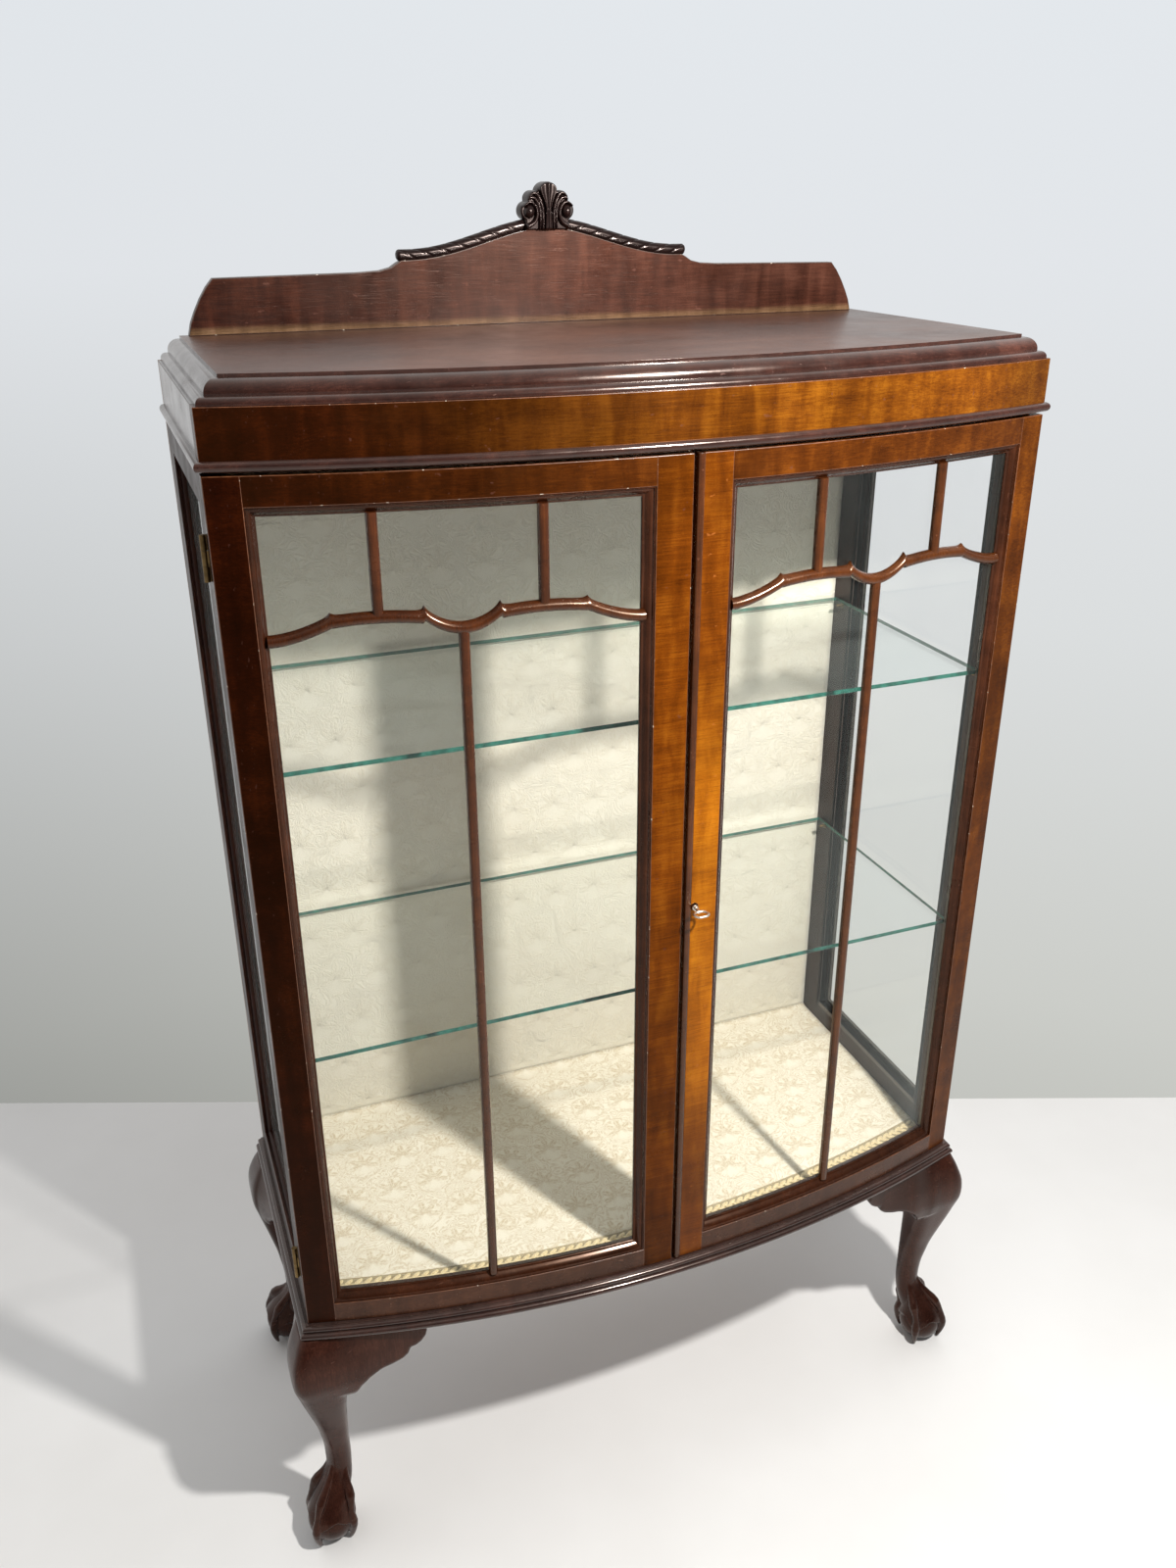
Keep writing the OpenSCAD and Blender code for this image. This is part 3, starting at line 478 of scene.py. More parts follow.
def damask(name, base, motif_col, plane, tile, strength, bump):
    """Woven cloth with staggered palmettes, each a fan of leaves in a hoop, and curls between."""
    mt, t, bs = material(name)
    c = coords(t)
    up = plane[1]
    u = calc(t, "DIVIDE", sep(t, c, 0), tile[0])
    v = calc(t, "DIVIDE", sep(t, c, "XYZ".index(up)), tile[1])
    odd = calc(t, "MODULO", away(t, calc(t, "FLOOR", v)), 2.0)
    fu = sub(t, calc(t, "FRACT", mad(t, odd, 0.5, u)), 0.5)
    fv = sub(t, calc(t, "FRACT", v), 0.5)
    r = calc(t, "SQRT", calc(t, "ADD", mul(t, fu, fu), mul(t, fv, fv)))
    ang = calc(t, "ARCTAN2", fu, fv)
    petal = away(t, calc(t, "COSINE", mul(t, ang, 3.5)))
    outline = mad(t, petal, 0.20, mad(t, noise(t, c, 60, 3, 0.6), 0.10, 0.13))
    leaf = grey(t, sub(t, outline, r), -0.01, 0.03, 0.0, 1.0)
    vein = away(t, calc(t, "SINE", mul(t, ang, 10.5)))
    leaf = mul(t, leaf, grey(t, vein, 0.15, 0.55, 0.30, 1.0))
    leaf = mul(t, leaf, grey(t, away(t, ang), 1.7, 2.7, 1.0, 0.0))
    bend = noise(t, coords(t, loc=(0.11, 0.27, 0.53)), 34, 2, 0.5)
    hoop = grey(t, away(t, sub(t, mad(t, bend, 0.26, r), 0.55)), 0.012, 0.034, 0.75, 0.0)
    hoop = mul(t, hoop, grey(t, noise(t, c, 120, 2, 0.5), 0.36, 0.48, 0.0, 1.0))
    curl = noise(t, coords(t, loc=(0.31, 0.17, 0.23)), 26, 1, 0.4, 1.6)
    curl = away(t, calc(t, "SINE", mul(t, curl, 46.0)))
    curl = mul(t, grey(t, curl, 0.58, 0.86, 0.0, 0.7), grey(t, r, 0.26, 0.36, 0.0, 1.0))
    motif = calc(t, "MAXIMUM", calc(t, "MAXIMUM", mul(t, leaf, 0.95), curl), hoop)
    motif = mul(t, motif, grey(t, noise(t, c, 330, 3, 0.6), 0.38, 0.58, 0.30, 1.0))
    weave = mul(t, *[nd(t, "ShaderNodeTexWave", {"Vector": c, "Scale": 420.0, "Distortion": 0.6}, out=1,
                        wave_type="BANDS", bands_direction=way) for way in ("X", up)])
    col = mix(t, mul(t, motif, strength), base, motif_col)
    col = mix(t, mul(t, weave, 0.12), col, times(base, 0.72))
    stain = grey(t, noise(t, c, 4.5, 4, 0.6), 0.45, 0.75, 0.0, 0.22)
    h = mad(t, motif, 1.0, mul(t, weave, 0.25))
    dress(t, bs, Base_Color=mix(t, stain, col, (0.62, 0.53, 0.36)), Roughness=0.72, Sheen_Weight=0.25,
          Sheen_Roughness=0.4, Normal=relief(t, bump, 0.0006, h))
    return mt


def braid(name, shade):
    mt, t, bs = material(name)
    n = noise(t, coords(t), 500, 3, 0.6)
    # shade below 1 gives a copy of the braid in painted shade
    dark, light = [times(c, shade) for c in ((0.62, 0.45, 0.19), (0.90, 0.79, 0.50))]
    thread = mix(t, grey(t, n, 0.3, 0.7, 0, 1), dark, light)
    dress(t, bs, Base_Color=thread, Roughness=0.45, Sheen_Weight=0.4, Normal=relief(t, 0.5, 0.0003, n))
    return mt


RED = ((0.0034, 0.0005, 0.0003), (0.0095, 0.0014, 0.0005), (0.0240, 0.0042, 0.0010))
# painted sheen: the lighter, more golden tones that the frieze, door rails and stiles fade to on the right
RIGHT_SHEEN = ((0.036, 0.0085, 0.0008), (0.090, 0.0250, 0.0014), (0.165, 0.0550, 0.0034))
RAIL_RIGHT_SHEEN = ((0.024, 0.0054, 0.0008), (0.056, 0.0138, 0.0014), (0.110, 0.0310, 0.0030))
STILE_RIGHT_SHEEN = ((0.026, 0.0062, 0.0006), (0.062, 0.0155, 0.0012), (0.120, 0.0340, 0.0024))
# painted sheen round the middle of the doors, and a brighter painted highlight within it
MIDDLE_SHEEN = ((0.050, 0.0108, 0.0006), (0.112, 0.0260, 0.0012), (0.190, 0.0540, 0.0030))
MIDDLE_HIGHLIGHT = ((0.15, 0.038, 0.0012), (0.30, 0.088, 0.0024), (0.44, 0.150, 0.0060))
LOW = ((0.016, 0.0050, 0.0024), (0.042, 0.0145, 0.0068), (0.082, 0.0310, 0.0150))
SIGHT = ((0.010, 0.0026, 0.0010), (0.026, 0.0070, 0.0026), (0.054, 0.0160, 0.0060))
PURPLE = ((0.012, 0.0046, 0.0036), (0.030, 0.0112, 0.0080), (0.060, 0.0240, 0.0165))
TOP = ((0.046, 0.0190, 0.0120), (0.075, 0.0330, 0.0210), (0.118, 0.056, 0.036))
GALLERY = ((0.006, 0.0022, 0.0022), (0.024, 0.0070, 0.0044), (0.056, 0.0165, 0.0090))
# painted sheen: the gallery's lighter tones towards the right
GALLERY_RIGHT_SHEEN = ((0.014, 0.0046, 0.0030), (0.040, 0.0130, 0.0078), (0.082, 0.0300, 0.0185))
DUSTY = ((0.050, 0.026, 0.012), (0.110, 0.062, 0.030), (0.200, 0.120, 0.066))
MOULD = ((0.008, 0.0026, 0.0020), (0.021, 0.0070, 0.0050), (0.046, 0.0160, 0.0108))
CARVED = ((0.003, 0.0014, 0.0015), (0.008, 0.0036, 0.0034), (0.019, 0.0085, 0.0072))
LEG = ((0.009, 0.0024, 0.0016), (0.024, 0.0070, 0.0043), (0.054, 0.0178, 0.0110))
BAR = ((0.014, 0.0030, 0.0008), (0.036, 0.0080, 0.0017), (0.070, 0.0175, 0.0036))
# painted sheen: the bars' lighter tones towards the right
BAR_RIGHT_SHEEN = ((0.018, 0.0044, 0.0009), (0.046, 0.0118, 0.0021), (0.088, 0.0255, 0.0048))
PLY = ((0.16, 0.085, 0.042), (0.26, 0.15, 0.080), (0.37, 0.23, 0.13))
INNER = ((0.012, 0.006, 0.004), (0.028, 0.012, 0.008), (0.05, 0.022, 0.014))
MATT = dict(coat=0.0, spec=0.34, tint=(1.0, 0.36, 0.09))
SIDE = dict(rough=0.34, bump=0.1, coat=0.0, spec=0.2, tint=(1.0, 0.62, 0.5))

# these veneers carry painted sheen, lighter towards the right
W_frieze = wood("veneer_frieze", RED, "x", right_sheen=RIGHT_SHEEN, figure=1.9, seed=1.0, **MATT)
W_rail = wood("veneer_door_rail", RED, "x", right_sheen=RAIL_RIGHT_SHEEN, figure=1.9, seed=2.0, **MATT)
# the stiles also carry a patch of painted sheen near the meeting stiles
W_stile = wood("veneer_door_stile", RED, "x", right_sheen=STILE_RIGHT_SHEEN, figure=1.8, seed=3.0,
               sheen_and_dust_patch=(0.0, 0.90, 0.16, 0.60, MIDDLE_SHEEN), **{**MATT, "spec": 0.14})
# the meeting stile's tones are painted sheen, with a patch of painted highlight near half way up
W_meet = wood("veneer_meeting_stile", MIDDLE_SHEEN, "x", figure=1.8, seed=3.4,
              sheen_and_dust_patch=(0.03, 0.84, 0.14, 0.34, MIDDLE_HIGHLIGHT), **MATT)
W_low = wood("veneer_bottom_rail", LOW, "x", figure=1.2, seed=2.5, rough=0.24, coat=0.1, spec=0.34,
             tint=(1.0, 0.60, 0.42))
W_sight = wood("sight_moulding", SIGHT, seed=11.5, rough=0.22, coat=0.10, coat_rough=0.14, spec=0.28,
               tint=(1.0, 0.62, 0.44), bump=0.08)
W_side_x = wood("polished_side_y", PURPLE, "y", seed=4.0, rough=0.16, bump=0.1)
W_side_z = wood("polished_side_z", RED, seed=5.0, **SIDE)
W_side_r = wood("polished_side_rail", RED, "y", seed=4.5, **SIDE)
W_top = wood("top_veneer", TOP, "x", figure=0.5, rough=0.36, coat=0.25, seed=6.0)
# the gallery's patch is dust along its foot
W_gallery = wood("gallery_veneer", GALLERY, "x", figure=1.7, rough=0.30, coat=0.03, seed=7.0, dust=0.25,
                 spec=0.18, tint=(1.0, 0.62, 0.5), sheen_and_dust_patch=(0.0, TOP_Z / 1000 - 0.003, 1.9, 0.013, DUSTY),
                 right_sheen=GALLERY_RIGHT_SHEEN)
W_mould = wood("moulding_mahogany", MOULD, "x", seed=8.0, rough=0.20, dust=0.04, coat=0.50, coat_rough=0.13,
               spec=0.42, tint=(1.0, 0.80, 0.70), bump=0.4)
W_carve = wood("carved_mahogany", CARVED, "x", seed=9.0, rough=0.26, figure=0.5, bump=0.10, coat=0.08, spec=0.34,
               tint=(1.0, 0.80, 0.74))
W_leg = wood("leg_mahogany", LEG, seed=10.0, rough=0.21, figure=0.8, coat=0.07, spec=0.29,
             tint=(1.0, 0.64, 0.50), bump=0.5)
W_bar = wood("glazing_bar_mahogany", BAR, right_sheen=BAR_RIGHT_SHEEN, seed=11.0, rough=0.22, coat=0.25, spec=0.42,
             tint=(1.0, 0.72, 0.52))
W_ply = wood("stained_plywood", PLY, rough=0.62, coat=0.0, seed=12.0, figure=0.5)
W_inner = wood("inner_mahogany", INNER, seed=13.0, rough=0.3)
E_front = worn("worn_edge_front", (0.16, 0.050, 0.014))
E_dark = worn("worn_edge_dark", (0.09, 0.042, 0.026))
G_pane = glass("pane_glass")
G_shelf = glass("shelf_glass", tint=(0.80, 0.92, 0.88), low=0.028)
G_edge = glass_edge("glass_green_edge")
F_back = damask("cream_damask", (0.80, 0.768, 0.64), (0.66, 0.59, 0.42), "XZ", (0.060, 0.072), 0.34, 1.0)
F_floor = damask("gold_damask", (0.88, 0.83, 0.68), (0.56, 0.43, 0.23), "XY", (0.056, 0.062), 0.78, 0.5)
# the ribbon and cords under the ears take the same braid with painted shade, darker at 0.55
F_braid, F_shaded_band = braid("gold_braid", 1.0), braid("gold_braid_shaded_ground", 0.55)
M_brass = metal("old_brass", (0.22, 0.145, 0.060), 0.34, (0.060, 0.038, 0.020))
M_steel = metal("bolt_steel", (0.42, 0.42, 0.41), 0.30, (0.18, 0.16, 0.14))
M_nickel = metal("key_nickel", (0.80, 0.76, 0.68), 0.20, (0.42, 0.34, 0.24), amount=0.45)


# ------- top, gallery, frieze, mouldings
def plan_sweep(section, y_end):
    lines = [plan_line(p, y_end) for p, _ in section]
    return loft([[(ln[k][0], ln[k][1], s[1]) for ln, s in zip(lines, section)] for k in range(len(lines[0]))])


def top_face(f):
    return 1 if f.calc_center_median().z > TOP_Z / 1000 - 1e-4 else 0


top_edge = ([(-3.5, FRIEZE_TOP), (-3.5, FRIEZE_TOP + 1.5)] + arc(-9.5, FRIEZE_TOP + 1.5, 6, 0, 90, 7)
            + [(-12, FRIEZE_TOP + 7.5), (-12, FRIEZE_TOP + 9.2)]
            + arc(-24.5, FRIEZE_TOP + 9.2, 12.5, 0, 90, 10) + [(-26.5, FRIEZE_TOP + 21.7), (-26.5, TOP_Z)])
piece("top_board_moulded", loft([[(x, y, z) for x, y in plan_line(p, DEPTH)] for p, z in top_edge]),
      [W_mould, W_top], stands_for=["top_board"], slot="top_veneer", bevel=0.5, face_mat=top_face)

piece("frieze_front_veneered", band(0, WALL, FRIEZE_Z, FRIEZE_TOP, -HALF, HALF), [W_frieze, E_front],
      stands_for=["frieze_front"], slot="figured_veneer", bevel=0.6, wear=True)
XI = HALF - WALL
for side, flip in SIDES:
    part = loft([[(XI, bow(XI, WALL), z), (HALF, bow(HALF, WALL), z), (HALF, BACK_Y, z), (XI, BACK_Y, z)]
                 for z in (FRIEZE_Z, FRIEZE_TOP)])
    piece(side + "_frieze_veneered", mirrored(part, flip), [W_side_x, E_dark],
          stands_for=[side + "_frieze"], slot="figured_veneer", bevel=0.6, wear=True)
bead = [(-1, FRIEZE_Z)] + arc(0.5, FRIEZE_Z + 4.75, 5.0, -80, 80, 12) + [(-1, FRIEZE_Z + 9.5)]
piece("frieze_bead_turned", plan_sweep(bead, BACK_Y), [W_mould], stands_for=["frieze_bead"], slot="dark_mahogany")

base = ([(-45, LEG_H), (8.5, LEG_H)] + arc(7.1, LEG_H + 4.4, 4.4, -60, 80, 9)
        + [(6, LEG_H + 9), (6, LEG_H + 9.8)] + arc(4.8, LEG_H + 13, 3.2, -70, 80, 7)
        + [(3.5, LEG_H + 16.6), (3.5, BASE_TOP), (-45, BASE_TOP)])
piece("base_moulding_run", plan_sweep(base, BACK_Y), [W_mould, E_dark], slot="dark_mahogany", bevel=0.35,
      stands_for=["front_base_moulding", "left_base_moulding", "right_base_moulding"], wear=True)

NECK_X, NECK_H, GAL_MID, COVE_X, GAL_HALF = 172.0, 73.0, 106.0, 197.0, 421.0
GAL_Y0 = 361.2


def gallery_top(x):
    return NECK_H + (GAL_MID - NECK_H) * (1 + cos(pi * (x / NECK_X) ** 0.88)) / 2


shoulder = [(0, 0), (1.6, 6), (3.5, 13), (9, 25), (16, 38), (24, 50), (32, 59)]
cove = [(30, 61), (5, 62.5), (-8, 65.5), (-16, 70.5)]
half_outline = ([(GAL_HALF - x, z) for x, z in shoulder] + [(COVE_X + x, z) for x, z in cove]
                + [(NECK_X + 4, NECK_H)] + [(x, gallery_top(x)) for x in spread(0, NECK_X, 22)[::-1]])
outline = half_outline + [(-x, z) for x, z in half_outline[-2::-1]]
piece("gallery_board_veneered", loft([[(x, y, TOP_Z + z) for x, z in outline] for y in (GAL_Y0, DEPTH)]),
      [W_gallery, E_dark], stands_for=["gallery_board"], slot="top_veneer", bevel=0.9, wear=True, sharp=50)

ROPE_X0, ROPE_X1, ROPE_R, ROPE_LIFT, ROPE_Y, ROPE_PITCH = 22.0, 181.5, 6.7, 5.3, 367.0, 62.0


def rope(sgn):
    """Three-strand rope along the gallery's neck, with rounded ends."""
    rings, steps, length = [], 170, ROPE_X1 - ROPE_X0
    for i in range(steps + 1):
        s = i / steps
        x = ROPE_X0 + length * s
        z, ahead = [TOP_Z + gallery_top(min(q, NECK_X)) + ROPE_LIFT for q in (x, x + 0.5)]
        ln = hypot(0.5, ahead - z)
        tx, tz = 0.5 / ln, (ahead - z) / ln
        end = min(1.0, (s * length) / 3.0 + 0.35, ((1 - s) * length) / 4.0 + 0.12)
        fat = ROPE_R * sqrt(max(0.02, 1 - (1 - end) ** 2)) * (0.90 + 0.10 * sin(pi * min(1, s * 1.4)))
        ring = []
        for k in range(28):
            a = 2 * pi * k / 28
            strand = sin(1.5 * (a - 2 * pi * (x - ROPE_X0) / ROPE_PITCH))
            r = fat * (1.03 - 0.21 * exp(-(strand / 0.20) ** 2))
            ring.append((sgn * (x - tz * r * sin(a)), ROPE_Y - r * cos(a), z + tx * r * sin(a)))
        rings.append(ring)
    return loft(rings)


piece("rope_mouldings_carved", merged(rope(1), rope(-1)), [W_carve], stands_for=["rope_mouldings"],
      slot="carved_mahogany", sharp=80)


# ------- crest: fan of leaves between two volutes
def smooth_path(points, n):
    """Catmull-Rom through points of any size."""
    out = []
    for i in range(n + 1):
        f = i / n * (len(points) - 1)
        k = min(int(f), len(points) - 2)
        u = f - k
        q = [points[max(0, min(len(points) - 1, k + o))] for o in (-1, 0, 1, 2)]
        out.append(tuple(0.5 * (2 * b + (c - a) * u + (2 * a - 5 * b + 4 * c - d) * u * u
                                + (3 * b - a - 3 * c + d) * u ** 3) for a, b, c, d in zip(*q)))
    return out


CREST_Z, CREST_Y, CREST_FOOT, CREST_BACK = TOP_Z + GAL_MID, 357.0, 27.0, 374.3
CREST_DISCS = [(0.0, 35.9, 12.6), (16.0, 30.2, 9.2), (-16.0, 30.2, 9.2), (22.4, 17.6, 10.6), (-22.4, 17.6, 10.6)]
FAN = [(-4, 4.4), (0, 4.3), (10, 3.7), (20, 3.5), (26, 4.8), (32, 7.8), (38, 10.6), (44, 11.4), (50, 11.4)]
# relief lines: path, width at the start, swell half way, taper, foot and height of the rounded ridge
LINES = (
    (smooth_path([(6.9, -4), (6.5, 8), (7.0, 18), (9.6, 28), (13.8, 35.0), (18.6, 36.6), (22.8, 33.0)], 40),
     1.8, 0.9, 0.0, 5.0, 4.8),
    (smooth_path([(10.6, -4), (9.9, 8), (10.3, 17), (12.9, 26), (17.4, 31.2), (23.0, 31.2), (28.0, 27.4)], 40),
     1.5, 0.8, 0.0, 4.6, 4.4),
    (smooth_path([(31, -3), (24, 1.4), (17.6, 5.2), (14.2, 11.6), (14.6, 19.4), (18.6, 25.4), (24.2, 26.8),
                  (29.4, 23.2)], 60), 3.1, 0.0, 1.5, 5.2, 5.2))


def path_distance(x, z, path):
    """Distance to a line of points, and how far along it the nearest point is."""
    d = [(x - a) ** 2 + (z - b) ** 2 for a, b in path]
    k = int(np.argmin(d))
    return sqrt(d[k]), k / (len(path) - 1)


def crest_rise(x, z):
    """How far the carving stands in front of its back plate."""
    x = abs(x)
    rise = 4.5
    u = x / float(np.interp(z, [f[0] for f in FAN], [f[1] for f in FAN]))
    if u < 1:
        ridge = 0.75 * exp(-(u / 0.20) ** 2) + 0.9 * u ** 3
        rise = max(rise, (9.3 + 2.6 * ridge) * (1 - u ** 14) ** 0.5)
    for path, width, swell, taper, foot_h, height in LINES:
        d, k = path_distance(x, z, path)
        w = width + swell * sin(pi * k) - taper * k
        if d < w:
            rise = max(rise, foot_h + height * sqrt(1 - (d / w) ** 2))
    e = ((x - 23.0) / 6.4) ** 2 + ((z - 17.0) / 7.6) ** 2
    if e < 1:
        rise = max(rise, 4.5 + 8.2 * sqrt(1 - e))
    return rise


def crest():
    """Rings out from the middle of the face, over its rounded edge and back to the wall side."""
    cz, layers = 19.0, 64
    spokes = []
    for ca, sa in circle(360):
        down = sa < 0
        floor = (cz + 3) / max(1e-6, -sa)
        far = min(floor, CREST_FOOT / max(1e-6, abs(ca))) if down else 17.0
        for x, z, r in CREST_DISCS:
            b = x * ca + (z - cz) * sa
            q = b * b - (x * x + (z - cz) ** 2 - r * r)
            if q > 0 and b + sqrt(q) > 0:
                far = max(far, b + sqrt(q))
                far = min(far, floor) if down else far
        spokes.append((ca, sa, far))
    rings = []
    for j in range(1, layers + 1):
        t = (j / layers) ** 0.9
        ring = []
        for ca, sa, far in spokes:
            x, z = far * t * ca, cz + far * t * sa
            edge = min(1.0, far * (1 - t) / 2.2)
            rise = crest_rise(x, z) * (0.45 + 0.55 * sqrt(1 - (1 - edge) ** 2))
            ring.append((x, CREST_Y + 4.0 - rise, CREST_Z + z))
        rings.append(ring)
    rings.append([(x, CREST_BACK, z) for x, y, z in rings[-1]])
    return loft(rings)


piece("crest_carved", crest(), [W_carve], stands_for=["crest_carving"], slot="carved_mahogany", sharp=75)

# ------- case sides, back and inside
OVOLO = ((0.3, 0.0), (5.6, 0.0), (5.6, 1.2), (4.8, 3.0), (3.2, 4.4), (1.4, 5.2), (0.3, 5.4))
for side, flip in SIDES:
    front = loft([[(XI, bow(XI, 21.4), z), (HALF, bow(HALF, 21.4), z), (HALF, SIDE_Y0, z), (XI, SIDE_Y0, z)]
                  for z in (BASE_TOP, FRIEZE_Z)])
    rail_run = (XI + 0.05, HALF - 0.05, SIDE_Y0 - 1, SIDE_Y1 + 1)
    for part_name, part, mat in (
            ("front_stile", front, W_side_z),
            ("back_stile", box(XI, HALF, SIDE_Y1, BACK_Y, BASE_TOP, FRIEZE_Z), W_side_z),
            ("top_rail", box(*rail_run, SIDE_Z1, FRIEZE_Z), W_side_r),
            ("bottom_rail", box(*rail_run, BASE_TOP, SIDE_Z0), W_side_r)):
        piece(f"{side}_{part_name}_solid", mirrored(part, flip), [mat, E_dark],
              stands_for=[f"{side}_{part_name}"], slot="dark_mahogany", **EDGE)
    # small ovolo round the outside of the side glass
    loops = []
    for out, w in OVOLO:
        x = HALF - 10 + out
        y0, y1, z0, z1 = SIDE_Y0 + w, SIDE_Y1 - w, SIDE_Z0 + w, SIDE_Z1 - w
        loops.append([(x, y0, z0), (x, y1, z0), (x, y1, z1), (x, y0, z1)])
    piece(side + "_glass_ovolo", mirrored(loft(loops + [loops[0]], cap=False), flip), [W_side_z],
          slot="dark_mahogany", sharp=50)

for mat, names in (
        (W_inner, "side_glazing_beads left_glazing_bead right_glazing_bead"),
        (G_pane, "left_side_glass right_side_glass left_door_glass right_door_glass"),
        (W_ply, "back_panel floor_board"),
        (M_brass, "case_hinge_leaves left_door_hinges right_door_hinges bolt_plate door_bolt lock_case"),
        (M_steel, "lock_bolt")):
    for n in names.split():
        nodes[n].data.materials.clear()
        nodes[n].data.materials.append(mat)

# round-headed screws that hold the back panel
SCREW = [(374.0, 3.7), (374.9, 3.7), (374.95, 0.9), (374.4, 0.7)]
SCREW_LOW, SCREW_HIGH = BASE_TOP + 8, FRIEZE_TOP - 12
piece("back_panel_screws", merged(*[turned(SCREW, x, z, 16) for x in (-443, -222, 0, 222, 443)
                                    for z in (SCREW_LOW, 735, 1087, SCREW_HIGH)
                                    if abs(x) > 400 or z in (SCREW_LOW, SCREW_HIGH)]),
      [M_steel], slot="bolt_steel", sharp=50)


def cloth(name, nx, nz, at, mat, slot_name):
    """A glued cloth: a grid of points at(u, v), u and v from 0 to 1, half a millimetre thick."""
    verts = [at(i / nx, j / nz) for j in range(nz + 1) for i in range(nx + 1)]
    rows = [j * (nx + 1) + i for j in range(nz) for i in range(nx)]
    faces = [(k, k + 1, k + nx + 2, k + nx + 1) for k in rows]
    o = piece(name + "_damask", (verts, faces), [mat], stands_for=[name], slot=slot_name)
    o.modifiers.new("thickness", "SOLIDIFY").thickness = 0.0005
    o.modifiers["thickness"].offset = 0
    return o


def pucker(u, v, seed):
    """Small ripples of glued cloth, in millimetres; stronger near the glued edges."""
    e = exp(-min(u, 1 - u, v, 1 - v) * 22)
    return (0.10 * sin(17 * u + 3 * sin(5 * v + seed)) * sin(13 * v + 2 * sin(7 * u + seed))
            + 0.16 * e * sin(90 * (u + v) + seed))


def back_at(u, v):
    return (-LINING_HALF + 2 * LINING_HALF * u, 368.05 + pucker(u, v, 1.0),
            BOARD_TOP + (FRIEZE_Z - BOARD_TOP) * v)


def floor_at(u, v):
    x = -LINING_HALF + 2 * LINING_HALF * u
    y0 = bow(x, 56.6)
    turned_up = max(0.0, (v - 0.985) / 0.015)
    return (x, y0 + (367.75 - y0) * v, 380.45 + pucker(u, v, 4.0) + 2.2 * turned_up ** 2)


lining = cloth("back_lining", 110, 130, back_at, F_back, "cream_damask")
floor_cloth = cloth("floor_lining", 120, 60, floor_at, F_floor, "gold_damask")

# gimp braid: a ribbon with four cords along it, and two rows of leaning ears
GIMP_MID, GIMP_Z, EAR_STEP, EARS, EAR_LEAN = 46.7, 381.3, 11.6, 74, 30
gimp = [band(37.0, 56.4, 379.9, 380.8, -434, 434, 12.0)]
for inset, fat in ((38.0, 1.3), (40.6, 1.1), (52.8, 1.1), (55.4, 1.3)):
    gimp.append(tube([(x, bow(x, inset), GIMP_Z) for x in np.linspace(-433, 433, 140)], fat, 6))
ears = []
for i in range(EARS):
    for row in (-1, 1):
        x = -428 + EAR_STEP * i + (EAR_STEP / 2 if row > 0 else 0)
        c, s = cos(row * radians(EAR_LEAN)), sin(row * radians(EAR_LEAN))
        v, f = ball((7.2, 3.0, 1.3), 12, 8)
        ears.append(([(x + p[0] * c - p[1] * s, bow(x, GIMP_MID) + row * 2.9 + p[0] * s + p[1] * c,
                       GIMP_Z + 0.4 + p[2]) for p in v], f))
for part_name, part, mat in (("floor_gimp_band", gimp, F_shaded_band), ("floor_gimp_ears", ears, F_braid)):
    piece(part_name, merged(*part), [mat], stands_for=["floor_gimp"], slot="gold_braid", sharp=80)

# ------- glass shelves and pegs
pegs = []
PEG = ((441.0, 2.3), (436.0, 2.3), (434.9, 2.4), (434.6, 4.0), (433.6, 4.0), (433.3, 2.4), (430, 2.4), (426.6, 2.3))
for name, z in SHELVES:
    piece(name + "_glass", box(-433, 433, 24, 359, z - SHELF_T, z), [G_shelf, G_edge], stands_for=[name],
          slot="shelf_glass", bevel=0.5, segs=1, face_mat=lambda f: 0 if abs(f.normal.z) > 0.5 else 1)
    for y in (36.0, 344.0):
        part = tube([(x, y, z - 8.0) for x, _ in PEG], [r for _, r in PEG], 16)
        pegs += [part, mirrored(part)]
piece("shelf_pegs_turned", merged(*pegs), [M_brass], stands_for=["shelf_pegs"], slot="old_brass", sharp=40)


# ------- doors
def plan_prism(pts, z0, z1):
    """Prism from plan points given as (x, inset)."""
    return loft([[(x, bow(x, i), z) for x, i in pts] for z in (z0, z1)])


def stile(x0, x1):
    xs = spread(x0, x1, 6)
    return plan_prism([(x, 0) for x in xs] + [(x, DOOR_T) for x in xs[::-1]], DOOR_Z0, DOOR_Z1)


def frame_loop(w, inset):
    xs = spread(MEET_X + w, OUTER_X - w, 30)
    pts = [(x, PANEL_Z0 + w) for x in xs] + [(x, PANEL_Z1 - w) for x in xs[::-1]]
    return [(x, bow(x, inset), z) for x, z in pts]


SIGHT_SECTION = [(1.6, 0.0), (1.6, 1.3), (3.4, 2.1), (3.9, 3.3), (5.2, 5.0), (7.2, 6.7), (9.0, 7.8), (9.9, 8.6),
                 (10.2, 9.6), (11.0, 10.4), (12.0, 10.5), (12.0, 0.0)]
BARS_MID = (MEET_X + OUTER_X) / 2 - 0.5
OPEN_HALF = (OUTER_X - MEET_X) / 2 - SIGHT_W
NIB_IN, NIB_OUT, BAR_BACK = 37, 124, 11.9  # the serpentine's points, and the inset of the bars' flat back


def serp_mid(s):
    a = abs(s)
    if a < NIB_IN:
        return 15.5 * (a / NIB_IN) ** 2
    if a < NIB_OUT:
        return 15.5 - 3 * ((a - 80.5) / 43.5) ** 2
    return -4 + 17 * max(0.0, 1 - (a - NIB_OUT) / (OPEN_HALF - NIB_OUT)) ** 1.6


